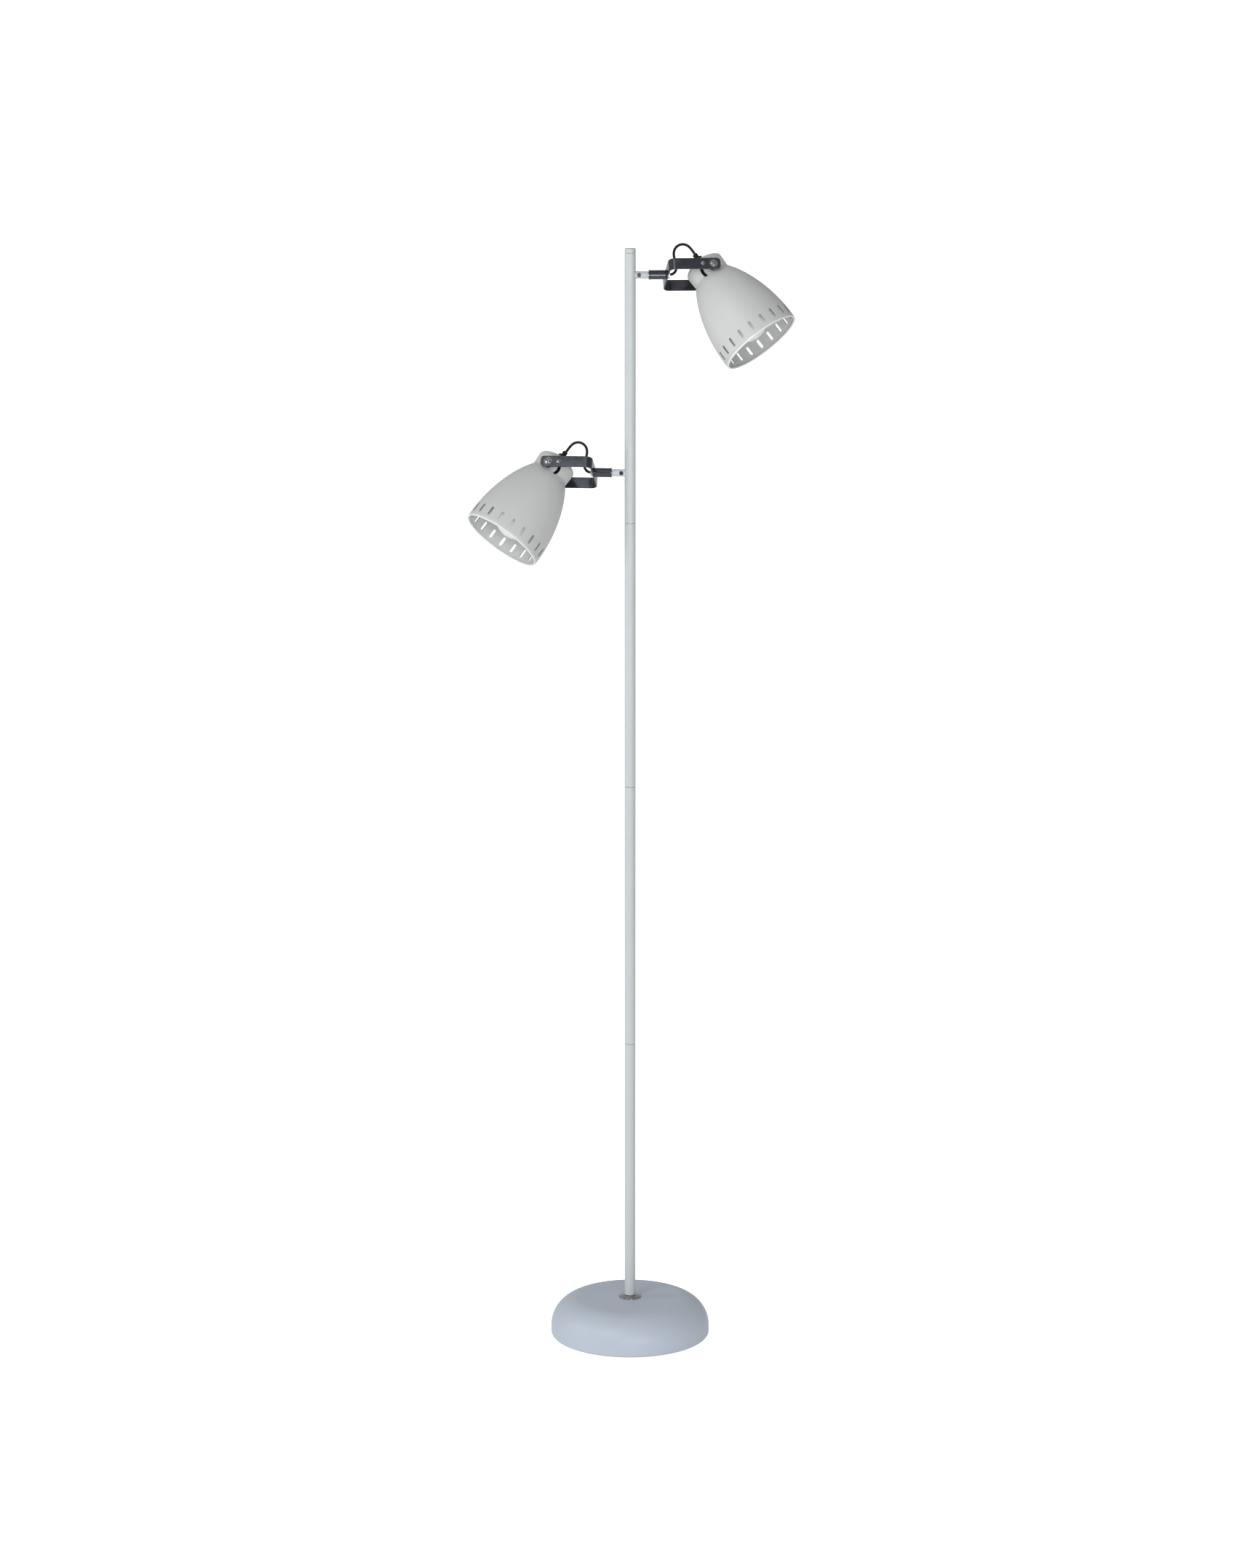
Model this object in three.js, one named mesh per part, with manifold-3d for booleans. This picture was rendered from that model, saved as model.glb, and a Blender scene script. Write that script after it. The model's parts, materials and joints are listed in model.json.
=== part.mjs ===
// Adjustable arm floor lamp: two bell-shaped spot heads on short arms, one pole, one weighted round foot.
// Millimetres, +Z up. The origin is the middle of the foot's underside, and the lamp's front faces -Y.

import * as THREE from 'three';
import { mergeVertices } from 'three/addons/utils/BufferGeometryUtils.js';
import Module from 'manifold-3d';

const wasm = await Module();
wasm.setup();

// ---------------------------------------------------------------- driving dimensions

const GAP = 0.3; // clearance between neighbouring pieces
const HEIGHT = 1500;

// Foot
const FOOT_RADIUS = 109.5;
const FOOT_TOP = 54;
const FOOT_SHOULDER = 39.5; // radius of the rounded shoulder
const COVER_WALL = 1.5;
const COVER_FLOOR_GAP = 1.2; // the cover's lower edge stays this far off the floor
const COVER_CHAMFER = 1;
const PAD_THICKNESS = 2.2;
const PAD_RADIUS = 102;
const PLATE_THICKNESS = 2.2;
const PLATE_RADIUS = 105.5;
const BALLAST_RADIUS = 102;
const BALLAST_TOP = 20;
const BALLAST_WELL = 34; // radius of the hollow under the ballast's hub
const HUB_FLOOR = 26;
const HUB_TOP = 32;
const HUB_TOP_RADIUS = 36;
const HUB_FOOT_RADIUS = 42;
const INLET_HEIGHT = 12;
const INLET_RADIUS = 4.6;
const INLET_BORE = 3.4;
const INLET_FLANGE = 6;
const INLET_TAIL = 102.8;
const BLOCK_SIZE = [16, 14, 8];
const BLOCK_START = 16; // distance of the terminal block's near end from the pole's axis

// Threaded foot nipple, nut and spacer
const NIPPLE_RADIUS = 5.9;
const LEADWAY_RADIUS = 4.9; // bore of every hollow piece that both leads pass through
const NIPPLE_BOTTOM = 17;
const NIPPLE_TOP = 84;
const NUT_HEIGHT = 6;
const NUT_RADIUS = 11;
const SPACER_RADIUS = 10;

// Collar and pole
const COLLAR_RADIUS = 15.4;
const COLLAR_RIM = 1;
const COLLAR_SHOULDER = 8.6;
const COLLAR_HEIGHT = 2.9;
const POLE_RADIUS = 7.5;
const POLE_BORE = 6.3;
const POLE_BOTTOM = 57.5;
const SECTION_COUNT = 4;
const CAP_HEIGHT = 6.5;
const CAP_CHAMFER = 2.2;
const CAP_PLUG = 9;
const JOINER_RADIUS = 6;
const JOINER_HALF = 14;

// Arms: one head on each side of the pole, both turned a little to the back. At rest each yoke is rolled
// about its arm, and each shade's axis is tilted against it.
const { degToRad } = THREE.MathUtils;
const ARMS = [
  { name: 'upper', height: 1464.3, side: 1, roll: degToRad(27.5), tilt: degToRad(57.6) },
  { name: 'lower', height: 1201.4, side: -1, roll: degToRad(30), tilt: degToRad(59.2) },
];
const ARM_YAW = degToRad(7.7);
const TILT_DOWN = degToRad(50);
const TILT_UP = degToRad(35);

const STUB_RADIUS = 4.9;
const STUB_END = 23.6;
const STUB_SCREW_PLACE = 11.3;
const STUB_SCREW_RADIUS = 2.5;
const STUB_SCREW_POCKET = 2.8;
const SPIGOT_RADIUS = 3.6;
const SPIGOT_BORE = 2.3;
const SPIGOT_START = 4.6;
const SPIGOT_END = 53;
const SLEEVE_START = 24.8;
const SLEEVE_RADIUS = 6.6;
const SLEEVE_LIP = 0.4; // height of the ring at the sleeve's pole end
const SLEEVE_LIP_WIDTH = 1;

// Yoke: a U of bent strap
const YOKE_BASE = 47.6; // outer face of the strap at the bottom of the U
const STRAP_THICKNESS = 1.8;
const STRAP_WIDTH = 15.6;
const STRAP_HALF_GAP = 35; // pole-arm axis to the middle of each leg
const STRAP_BEND = 7; // inner bend radius
const STRAP_CORNER = 4.5;
const REACH = 106.5; // pole axis to pivot axis
const STRAP_OVERHANG = 9.6;
const YOKE_NUT_RADIUS = 5.6;
const YOKE_NUT_HEIGHT = 3;

// Pivot
const PIVOT_SHANK = 2;
const PIVOT_HEAD_RADIUS = 5.2;
const PIVOT_HEAD_HEIGHT = 2.6;
const HEAD_CROWN = 0.6; // a pan head's flat top, as a share of its radius
const PIVOT_SHANK_END = 19.9;
const PIVOT_NUT_RADIUS = 4;
const PIVOT_NUT_FACE = 24.2;
const PIVOT_NUT_HEIGHT = 3.4;
const PIVOT_SPACER_RADIUS = 6;
const STOP_OFFSET = 14.3; // pivot axis to stop screw
const STOP_SHANK = 1.3;
const STOP_HEAD_RADIUS = 3;
const STOP_HEAD_HEIGHT = 1.6;
const STOP_SLOT_HALF = 2;
const STOP_SLOT_MARGIN = degToRad(3);
const STOP_SLOT_DEPTH = 10; // the slot is cut from this far off the shade's axis outwards

// Shade, in its own frame: the pivot at the origin, the light thrown along +Z
const SHADE_WALL = 1.4;
const CAP_BACK = -24.5;
const NECK_RADIUS = 26.9;
const RIM_RADIUS = 55.2;
// The outside as two cubic curves of [radius, height]: from the hole in the back to the neck, and from the
// crease in front of the neck to the rim.
const BACK_CURVE = [[5, CAP_BACK], [13, -23], [26.6, -17.5], [NECK_RADIUS, -12]];
const BELL_CURVE = [[26.2, 5], [46.5, 33], [57.2, 78], [RIM_RADIUS, 117.5]];
const RIM_SLOT_COUNT = 20;
const RIM_SLOT_LENGTH = 13;
const RIM_SLOT_WIDTH = 3.4;
const RIM_SLOT_PLACE = 103.5;

// Lampholder, bulb and strain relief, in the shade's frame
const STEM_RADIUS = 4.7;
const STEM_START = -27.2;
const STEM_END = -8;
const HOLDER_OUTSIDE = [[7.5, -21.8], [7.5, -16.8], [16, -12.8], [19, -7.8], [19, 26]]; // [radius, height]
const HOLDER_BORE = 14.4;
const HOLDER_FLOOR = -7;
const BULB_CAP_OUTSIDE = [[0, -5], [4, -5], [4, -3.4], [10.5, -1], [13.3, 3], [13.3, 22]];
const BULB_CAP_INSIDE = [[12.3, 22], [12.3, 3.6], [0, 0.6]];
const BULB_RADIUS = 30;
const BULB_CENTRE = 78;
const BULB_JOIN = -0.22 * Math.PI; // where the bulb's neck meets its ball
const BULB_WAIST = 1.6; // the flare of the neck is drawn in by this much halfway
const BULB_NECK_RADIUS = 12;
const BULB_NECK_START = 8;
const GLASS_WALL = 0.8;
const RELIEF_OUTSIDE = [[6.2, CAP_BACK - GAP], [6.2, -28.2], [3.9, -29.4], [3.5, -34]];

// Leads
const LEAD_RADIUS = 1.8;
const LEAD_SIDES = 8;
const LEAD_OFFSET = 2.6; // each lead stands this far off the pole's axis
const LEAD_PASS_OFFSET = 4.2; // the upper lead gives the lower spigot more room
// From the terminal block up into the nipple: [distance from the pole's axis, height].
const LEAD_RISE = [[15.7, 9.5], [11, 9.5], [6, 9.8], [1.5, 12.2], [0, NIPPLE_BOTTOM], [0, 27]];
// Past a lower arm: [height from the arm, the lead's distance from the axis].
const LEAD_PASS = [
  [-48, LEAD_OFFSET], [-38, LEAD_OFFSET], [-16, LEAD_PASS_OFFSET], [16, LEAD_PASS_OFFSET], [38, LEAD_OFFSET],
  [48, LEAD_OFFSET],
];
// From the pole over into a spigot: [outwards, share of the offset left, height from the arm].
const LEAD_TURN = [
  [0, 1, -16], [-0.8, 1, -9], [0.6, 0.5, -2.6], [4, 0, -0.4], [9, 0, 0], [SPIGOT_END - 2, 0, 0],
];

// Facets around a piece
const HEX = 6;
const COARSE = 10;
const MEDIUM = 16;
const FINE = 20;
const BROAD = 40;

// ---------------------------------------------------------------- materials

function finish(color, roughness, metalness) {
  return new THREE.MeshStandardMaterial({ color, roughness, metalness });
}

const MATERIALS = {
  white: finish(0xd4d8d6, 0.35, 0.05),
  footWhite: finish(0xc8cfdb, 0.3, 0.05),
  blackChrome: finish(0x26262c, 0.18, 1),
  chrome: finish(0xd8d9dc, 0.08, 1),
  blackSteel: finish(0x2a2a2c, 0.45, 1),
  blackPlastic: finish(0x141416, 0.45, 0),
  leadSheath: finish(0x101012, 0.5, 0),
  zinc: finish(0xb4b6b8, 0.4, 1),
  iron: finish(0x3a3a3c, 0.8, 0.6),
  foam: finish(0x202022, 0.95, 0),
  porcelain: finish(0xe8e6df, 0.3, 0),
  nickel: finish(0xc4bda8, 0.25, 1),
  glass: finish(0xf4f4f0, 0.1, 0),
};

// ---------------------------------------------------------------- geometry helpers

// Signed volume of a closed triangle mesh; negative when its faces point in.
function signedVolume(geometry) {
  const position = geometry.getAttribute('position');
  const index = geometry.index.array;
  const [a, b, c] = [new THREE.Vector3(), new THREE.Vector3(), new THREE.Vector3()];
  let sum = 0;
  for (let i = 0; i < index.length; i += 3) {
    a.fromBufferAttribute(position, index[i]);
    b.fromBufferAttribute(position, index[i + 1]);
    c.fromBufferAttribute(position, index[i + 2]);
    sum += a.dot(b.cross(c)) / 6;
  }
  return sum;
}

// Welds a geometry's corners, drops its collapsed triangles and turns its faces out.
function welded(geometry) {
  const plain = geometry.index ? geometry.toNonIndexed() : geometry.clone();
  for (const name of ['normal', 'uv', 'uv1']) {
    plain.deleteAttribute(name);
  }
  plain.clearGroups();
  const merged = mergeVertices(plain, 1e-4);
  const corners = merged.index.array;
  const kept = [];
  for (let i = 0; i < corners.length; i += 3) {
    const [a, b, c] = [corners[i], corners[i + 1], corners[i + 2]];
    if (a !== b && b !== c && c !== a) {
      kept.push(a, b, c);
    }
  }
  merged.setIndex(kept);
  if (signedVolume(merged) < 0) {
    merged.setIndex([...merged.index.array].reverse());
  }
  return merged;
}

function toSolid(geometry) {
  const closed = welded(geometry);
  const mesh = new wasm.Mesh({
    numProp: 3,
    vertProperties: new Float32Array(closed.getAttribute('position').array),
    triVerts: new Uint32Array(closed.index.array),
  });
  return new wasm.Manifold(mesh);
}

function toGeometry(solid) {
  const mesh = solid.getMesh();
  const geometry = new THREE.BufferGeometry();
  geometry.setAttribute('position', new THREE.BufferAttribute(new Float32Array(mesh.vertProperties), 3));
  geometry.setIndex([...mesh.triVerts]);
  return geometry;
}

function cut(body, ...tools) {
  return toGeometry(tools.reduce((left, tool) => left.subtract(toSolid(tool)), toSolid(body)));
}

function common(body, tool) {
  return toGeometry(toSolid(body).intersect(toSolid(tool)));
}

// Turned piece around Z, from [radius, height] points that start and end on the axis or close on themselves.
function turned(profile, facets = FINE) {
  const points = profile.map(([radius, height]) => new THREE.Vector2(radius, height));
  return new THREE.LatheGeometry(points, facets).rotateX(Math.PI / 2);
}

// Turned ring: the profile's first point is repeated to close it.
function turnedRing(profile, facets = FINE) {
  return turned([...profile, profile[0]], facets);
}

function tube(outer, inner, from, to, facets = FINE) {
  return turnedRing([[inner, from], [outer, from], [outer, to], [inner, to]], facets);
}

function rod(radius, from, to, facets = COARSE) {
  return turned([[0, from], [radius, from], [radius, to], [0, to]], facets);
}

// Lays a piece made around Z along X or along Y instead.
function alongX(geometry) {
  return geometry.rotateY(Math.PI / 2);
}

function alongY(geometry) {
  return geometry.rotateX(-Math.PI / 2);
}

// Points of an arc in [radius, height], both ends included.
function arcPoints(centre, radius, from, to, steps) {
  return Array.from({ length: steps + 1 }, (_, i) => {
    const angle = from + ((to - from) * i) / steps;
    return [centre[0] + radius * Math.cos(angle), centre[1] + radius * Math.sin(angle)];
  });
}

// Points of a cubic curve in [radius, height].
function curvePoints(ends, steps) {
  const curve = new THREE.CubicBezierCurve(...ends.map(([x, y]) => new THREE.Vector2(x, y)));
  return curve.getPoints(steps).map((point) => [point.x, point.y]);
}

// A smooth route whose steps follow its points, so straight stretches need few of them.
class Route extends THREE.CatmullRomCurve3 {
  getPointAt(share, target) {
    return this.getPoint(share, target);
  }

  getTangentAt(share, target) {
    return this.getTangent(share, target);
  }
}

function circleShape(radius, sides) {
  const points = Array.from({ length: sides }, (_, i) => {
    const angle = (2 * Math.PI * i) / sides;
    return new THREE.Vector2(radius * Math.cos(angle), radius * Math.sin(angle));
  });
  return new THREE.Shape(points);
}

function cable(curve, steps) {
  return new THREE.ExtrudeGeometry(circleShape(LEAD_RADIUS, LEAD_SIDES), { steps, extrudePath: curve });
}

const group = new THREE.Group();

function addPiece(parent, name, geometry, material) {
  const mesh = new THREE.Mesh(welded(geometry), material);
  mesh.name = name;
  parent.add(mesh);
}

// ---------------------------------------------------------------- foot

// The cover's outline, moved in by `inset`, from the middle of the top to the side's lower end.
function coverOutline(inset) {
  const centre = [FOOT_RADIUS - FOOT_SHOULDER, FOOT_TOP - FOOT_SHOULDER];
  return arcPoints(centre, FOOT_SHOULDER - inset, Math.PI / 2, 0, 4);
}

function coverGeometry() {
  const hole = NIPPLE_RADIUS + GAP;
  const outer = coverOutline(0);
  const inner = coverOutline(COVER_WALL).reverse();
  const shell = turnedRing([
    [hole, FOOT_TOP],
    ...outer,
    [FOOT_RADIUS, COVER_FLOOR_GAP + COVER_CHAMFER],
    [FOOT_RADIUS - COVER_CHAMFER, COVER_FLOOR_GAP],
    [FOOT_RADIUS - COVER_WALL, COVER_FLOOR_GAP],
    ...inner,
    [hole, FOOT_TOP - COVER_WALL],
  ], BROAD);
  const inletHole = alongY(rod(INLET_RADIUS + GAP, FOOT_RADIUS - INLET_FLANGE, FOOT_RADIUS + INLET_FLANGE));
  return cut(shell, inletHole.translate(0, 0, INLET_HEIGHT));
}

function ballastGeometry() {
  const hole = NIPPLE_RADIUS + GAP;
  const floor = PAD_THICKNESS + PLATE_THICKNESS + 3 * GAP;
  return turnedRing([
    [hole, HUB_FLOOR],
    [BALLAST_WELL, HUB_FLOOR],
    [BALLAST_WELL, floor],
    [BALLAST_RADIUS, floor],
    [BALLAST_RADIUS, BALLAST_TOP],
    [HUB_FOOT_RADIUS, BALLAST_TOP],
    [HUB_TOP_RADIUS, HUB_TOP],
    [hole, HUB_TOP],
  ]);
}

function inletGeometry() {
  const wallInside = FOOT_RADIUS - COVER_WALL;
  return alongY(turnedRing([
    [INLET_BORE, INLET_TAIL],
    [INLET_FLANGE, INLET_TAIL],
    [INLET_FLANGE, wallInside - 3 * GAP],
    [INLET_RADIUS, wallInside - 3 * GAP],
    [INLET_RADIUS, FOOT_RADIUS - GAP],
    [INLET_BORE, FOOT_RADIUS - GAP],
  ], COARSE));
}

function hexNut(radius, bore, from, to) {
  return cut(rod(radius, from, to, HEX), rod(bore, from - GAP, to + GAP));
}

function buildFoot() {
  const plateFloor = PAD_THICKNESS + GAP;
  const plateTop = plateFloor + PLATE_THICKNESS;
  addPiece(group, 'foot_pad', rod(PAD_RADIUS, 0, PAD_THICKNESS, BROAD), MATERIALS.foam);
  addPiece(group, 'foot_plate', rod(PLATE_RADIUS, plateFloor, plateTop, BROAD), MATERIALS.zinc);
  addPiece(group, 'foot_ballast', ballastGeometry(), MATERIALS.iron);
  addPiece(group, 'foot_cover', coverGeometry(), MATERIALS.footWhite);

  const inlet = inletGeometry().translate(0, 0, INLET_HEIGHT);
  addPiece(group, 'lead_inlet_bush', inlet, MATERIALS.blackPlastic);

  const [blockLength, blockWidth, blockHeight] = BLOCK_SIZE;
  const blockFloor = plateTop + GAP;
  const block = new THREE.BoxGeometry(blockLength, blockWidth, blockHeight);
  block.translate(BLOCK_START + blockLength / 2, 0, blockFloor + blockHeight / 2);
  addPiece(group, 'terminal_block', block, MATERIALS.porcelain);

  const nipple = tube(NIPPLE_RADIUS, LEADWAY_RADIUS, NIPPLE_BOTTOM, NIPPLE_TOP);
  addPiece(group, 'foot_nipple', nipple, MATERIALS.zinc);

  const nutTop = HUB_FLOOR - GAP;
  const nut = hexNut(NUT_RADIUS, NIPPLE_RADIUS + GAP, nutTop - NUT_HEIGHT, nutTop);
  addPiece(group, 'foot_nut', nut, MATERIALS.zinc);

  const spacerTop = FOOT_TOP - COVER_WALL - GAP;
  const spacer = tube(SPACER_RADIUS, NIPPLE_RADIUS + GAP, HUB_TOP + GAP, spacerTop);
  addPiece(group, 'foot_spacer', spacer, MATERIALS.zinc);
}

// ---------------------------------------------------------------- pole

function collarGeometry() {
  const floor = FOOT_TOP + GAP;
  const bore = NIPPLE_RADIUS + GAP;
  return turnedRing([
    [bore, floor],
    [COLLAR_RADIUS, floor],
    [COLLAR_RADIUS, floor + COLLAR_RIM],
    [COLLAR_SHOULDER, floor + COLLAR_HEIGHT],
    [bore, floor + COLLAR_HEIGHT],
  ]);
}

function capGeometry(sectionTop) {
  return turned([
    [0, sectionTop - CAP_PLUG],
    [POLE_BORE - GAP, sectionTop - CAP_PLUG],
    [POLE_BORE - GAP, sectionTop + GAP],
    [POLE_RADIUS, sectionTop + GAP],
    [POLE_RADIUS, HEIGHT - CAP_CHAMFER],
    [POLE_RADIUS - CAP_CHAMFER, HEIGHT],
    [0, HEIGHT],
  ]);
}

function armDirection(side) {
  return new THREE.Vector3(side * Math.cos(ARM_YAW), Math.sin(ARM_YAW), 0);
}

// A bore through the pole's wall for one arm's spigot.
function spigotHole({ height, side }) {
  const hole = alongX(rod(SPIGOT_RADIUS + GAP, 0, 2 * POLE_RADIUS));
  const yaw = side > 0 ? ARM_YAW : Math.PI - ARM_YAW;
  return hole.rotateZ(yaw).translate(0, 0, height);
}

function buildPole() {
  addPiece(group, 'pole_collar', collarGeometry(), MATERIALS.chrome);
  const sectionTop = HEIGHT - CAP_HEIGHT;
  const length = (sectionTop - POLE_BOTTOM) / SECTION_COUNT;
  for (let i = 0; i < SECTION_COUNT; i += 1) {
    const from = POLE_BOTTOM + i * length;
    const to = from + length - GAP;
    const plain = tube(POLE_RADIUS, POLE_BORE, from, to);
    const holes = ARMS.filter(({ height }) => height > from && height < to).map(spigotHole);
    addPiece(group, `pole_section_${i + 1}`, holes.length ? cut(plain, ...holes) : plain, MATERIALS.white);
    if (i > 0) {
      const joiner = tube(JOINER_RADIUS, LEADWAY_RADIUS, from - JOINER_HALF, from + JOINER_HALF);
      addPiece(group, `pole_joiner_${i}`, joiner, MATERIALS.zinc);
    }
  }
  addPiece(group, 'pole_cap', capGeometry(sectionTop), MATERIALS.white);
}

// ---------------------------------------------------------------- leads inside the pole

// From the terminal block up the pole, and over into one arm's spigot.
function poleLeadRoute({ height, side }) {
  const offset = side * LEAD_OFFSET;
  const rise = LEAD_RISE.map(([out, place]) => new THREE.Vector3(out, offset, place));
  const passed = ARMS.filter((arm) => arm.height < height);
  const swerves = passed.flatMap((arm) => (
    LEAD_PASS.map(([place, distance]) => new THREE.Vector3(0, distance, arm.height + place))
  ));
  const turn = LEAD_TURN.map(([out, share, place]) => (
    armDirection(side).multiplyScalar(out).add(new THREE.Vector3(0, share * offset, height + place))
  ));
  return [...rise, ...swerves, ...turn];
}

function buildPoleLeads() {
  for (const arm of ARMS) {
    const points = poleLeadRoute(arm);
    const lead = cable(new Route(points), points.length - 1);
    addPiece(group, `${arm.name}_pole_lead`, lead, MATERIALS.leadSheath);
  }
}

// ---------------------------------------------------------------- one arm: stub, spigot, screw

function stubGeometry(side) {
  const plain = alongX(tube(STUB_RADIUS, SPIGOT_RADIUS + GAP, 0, STUB_END));
  const pole = rod(POLE_RADIUS + GAP, -2 * POLE_RADIUS, 2 * POLE_RADIUS, FINE);
  const pocket = alongY(rod(STUB_SCREW_POCKET, 0, 2 * STUB_RADIUS)).translate(STUB_SCREW_PLACE, 0, 0);
  return cut(plain, pole, side > 0 ? pocket.rotateX(Math.PI) : pocket);
}

function stubScrewGeometry(side) {
  const screw = alongY(rod(STUB_SCREW_RADIUS, SPIGOT_RADIUS + 2 * GAP, STUB_RADIUS));
  screw.translate(STUB_SCREW_PLACE, 0, 0);
  return side > 0 ? screw.rotateX(Math.PI) : screw;
}

function buildStub(armGroup, name, side) {
  addPiece(armGroup, `${name}_arm_stub`, stubGeometry(side), MATERIALS.white);
  addPiece(armGroup, `${name}_stub_screw`, stubScrewGeometry(side), MATERIALS.blackSteel);
  const spigot = alongX(tube(SPIGOT_RADIUS, SPIGOT_BORE, SPIGOT_START, SPIGOT_END, MEDIUM));
  addPiece(armGroup, `${name}_spigot`, spigot, MATERIALS.zinc);
  const nutFrom = YOKE_BASE + STRAP_THICKNESS + GAP;
  const nut = alongX(hexNut(YOKE_NUT_RADIUS, SPIGOT_RADIUS + GAP, nutFrom, nutFrom + YOKE_NUT_HEIGHT));
  addPiece(armGroup, `${name}_yoke_nut`, nut, MATERIALS.zinc);
}

// ---------------------------------------------------------------- yoke

// The bent strap seen along its width: legs along X, one each side, and the base across.
function strapOutline() {
  const end = REACH + STRAP_OVERHANG;
  const outside = STRAP_HALF_GAP + STRAP_THICKNESS / 2;
  const inside = outside - STRAP_THICKNESS;
  const outerBend = STRAP_BEND + STRAP_THICKNESS;
  const centre = YOKE_BASE + outerBend;
  const shape = new THREE.Shape();
  shape.moveTo(end, outside);
  shape.lineTo(centre, outside);
  shape.absarc(centre, outside - outerBend, outerBend, Math.PI / 2, Math.PI, false);
  shape.absarc(centre, outerBend - outside, outerBend, Math.PI, 1.5 * Math.PI, false);
  shape.lineTo(end, -outside);
  shape.lineTo(end, -inside);
  shape.lineTo(centre, -inside);
  shape.absarc(centre, STRAP_BEND - inside, STRAP_BEND, 1.5 * Math.PI, Math.PI, true);
  shape.absarc(centre, inside - STRAP_BEND, STRAP_BEND, Math.PI, Math.PI / 2, true);
  shape.lineTo(end, inside);
  shape.closePath();
  return shape;
}

// The strap seen from its side, with the legs' rounded corners.
function strapSide() {
  const end = REACH + STRAP_OVERHANG;
  const half = STRAP_WIDTH / 2;
  const shape = new THREE.Shape();
  shape.moveTo(YOKE_BASE - STRAP_THICKNESS, -half);
  shape.absarc(end - STRAP_CORNER, STRAP_CORNER - half, STRAP_CORNER, -Math.PI / 2, 0, false);
  shape.absarc(end - STRAP_CORNER, half - STRAP_CORNER, STRAP_CORNER, 0, Math.PI / 2, false);
  shape.lineTo(YOKE_BASE - STRAP_THICKNESS, half);
  shape.closePath();
  return shape;
}

function yokeGeometry(side) {
  const depth = 2 * STRAP_WIDTH;
  const bent = new THREE.ExtrudeGeometry(strapOutline(), {
    depth, bevelEnabled: false, curveSegments: 5,
  }).translate(0, 0, -depth / 2);
  const width = 4 * STRAP_HALF_GAP;
  const trim = new THREE.ExtrudeGeometry(strapSide(), {
    depth: width, bevelEnabled: false, curveSegments: 4,
  }).rotateX(Math.PI / 2).translate(0, width / 2, 0);
  const spigotBore = alongX(rod(SPIGOT_RADIUS + GAP, 0, REACH / 2, MEDIUM));
  const pivotBore = alongY(rod(PIVOT_SHANK + GAP, -width, width)).translate(REACH, 0, 0);
  const stopBore = alongY(rod(STOP_SHANK + GAP, 0, side * width)).translate(REACH - STOP_OFFSET, 0, 0);
  return cut(common(bent, trim), spigotBore, pivotBore, stopBore);
}

function sleeveGeometry() {
  const bore = SPIGOT_RADIUS + GAP;
  const end = YOKE_BASE - GAP;
  return alongX(turnedRing([
    [bore, SLEEVE_START],
    [SLEEVE_RADIUS, SLEEVE_START],
    [SLEEVE_RADIUS, SLEEVE_START + SLEEVE_LIP_WIDTH],
    [SLEEVE_RADIUS - SLEEVE_LIP, SLEEVE_START + SLEEVE_LIP_WIDTH + GAP],
    [SLEEVE_RADIUS - SLEEVE_LIP, end],
    [bore, end],
  ]));
}

// Pan-head screw along Y: its head outside the strap, its shank towards the shade.
function screwGeometry(headRadius, headHeight, shankRadius, shankEnd, direction) {
  const seat = STRAP_HALF_GAP + STRAP_THICKNESS / 2 + GAP;
  const screw = alongY(turned([
    [0, shankEnd],
    [shankRadius, shankEnd],
    [shankRadius, seat],
    [headRadius, seat],
    [headRadius, seat + headHeight / 2],
    [headRadius * HEAD_CROWN, seat + headHeight],
    [0, seat + headHeight],
  ], COARSE));
  return direction > 0 ? screw : screw.rotateX(Math.PI);
}

// Hand-placed route of the visible lead loop, [along the arm, down the yoke's tilt direction].
const LOOP_ROUTE = [
  [SPIGOT_END - 1.6, 0], [55, -0.3], [58.6, -2.2], [61.6, -6.4], [62.6, -12.6], [61.6, -19], [60.4, -25.6],
  [60.6, -32.4], [63.2, -38.4], [68, -42.4], [74, -43.6], [79.6, -41.6], [83.4, -37.6], [86, -33.6],
  [88.4, -29.6],
];
const LOOP_STEPS = 26;

function loopGeometry() {
  const points = LOOP_ROUTE.map(([along, down]) => new THREE.Vector3(along, 0, down));
  return cable(new THREE.CatmullRomCurve3(points), LOOP_STEPS);
}

function buildYoke(headGroup, name, side) {
  addPiece(headGroup, `${name}_sleeve`, sleeveGeometry(), MATERIALS.blackChrome);
  addPiece(headGroup, `${name}_yoke`, yokeGeometry(side), MATERIALS.blackChrome);
  addPiece(headGroup, `${name}_lead_loop`, loopGeometry(), MATERIALS.leadSheath);
  for (const [place, direction] of [['front', side], ['rear', -side]]) {
    const screw = screwGeometry(
      PIVOT_HEAD_RADIUS, PIVOT_HEAD_HEIGHT, PIVOT_SHANK, PIVOT_SHANK_END, direction,
    );
    addPiece(headGroup, `${name}_pivot_screw_${place}`, screw.translate(REACH, 0, 0), MATERIALS.chrome);
    const nut = alongY(hexNut(
      PIVOT_NUT_RADIUS, PIVOT_SHANK + GAP, PIVOT_NUT_FACE - PIVOT_NUT_HEIGHT, PIVOT_NUT_FACE,
    ));
    const turnedNut = direction > 0 ? nut : nut.rotateX(Math.PI);
    addPiece(headGroup, `${name}_pivot_nut_${place}`, turnedNut.translate(REACH, 0, 0), MATERIALS.zinc);
  }
  const stop = screwGeometry(STOP_HEAD_RADIUS, STOP_HEAD_HEIGHT, STOP_SHANK, PIVOT_SHANK_END, side);
  addPiece(headGroup, `${name}_stop_screw`, stop.translate(REACH - STOP_OFFSET, 0, 0), MATERIALS.chrome);
}

// ---------------------------------------------------------------- shade

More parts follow.
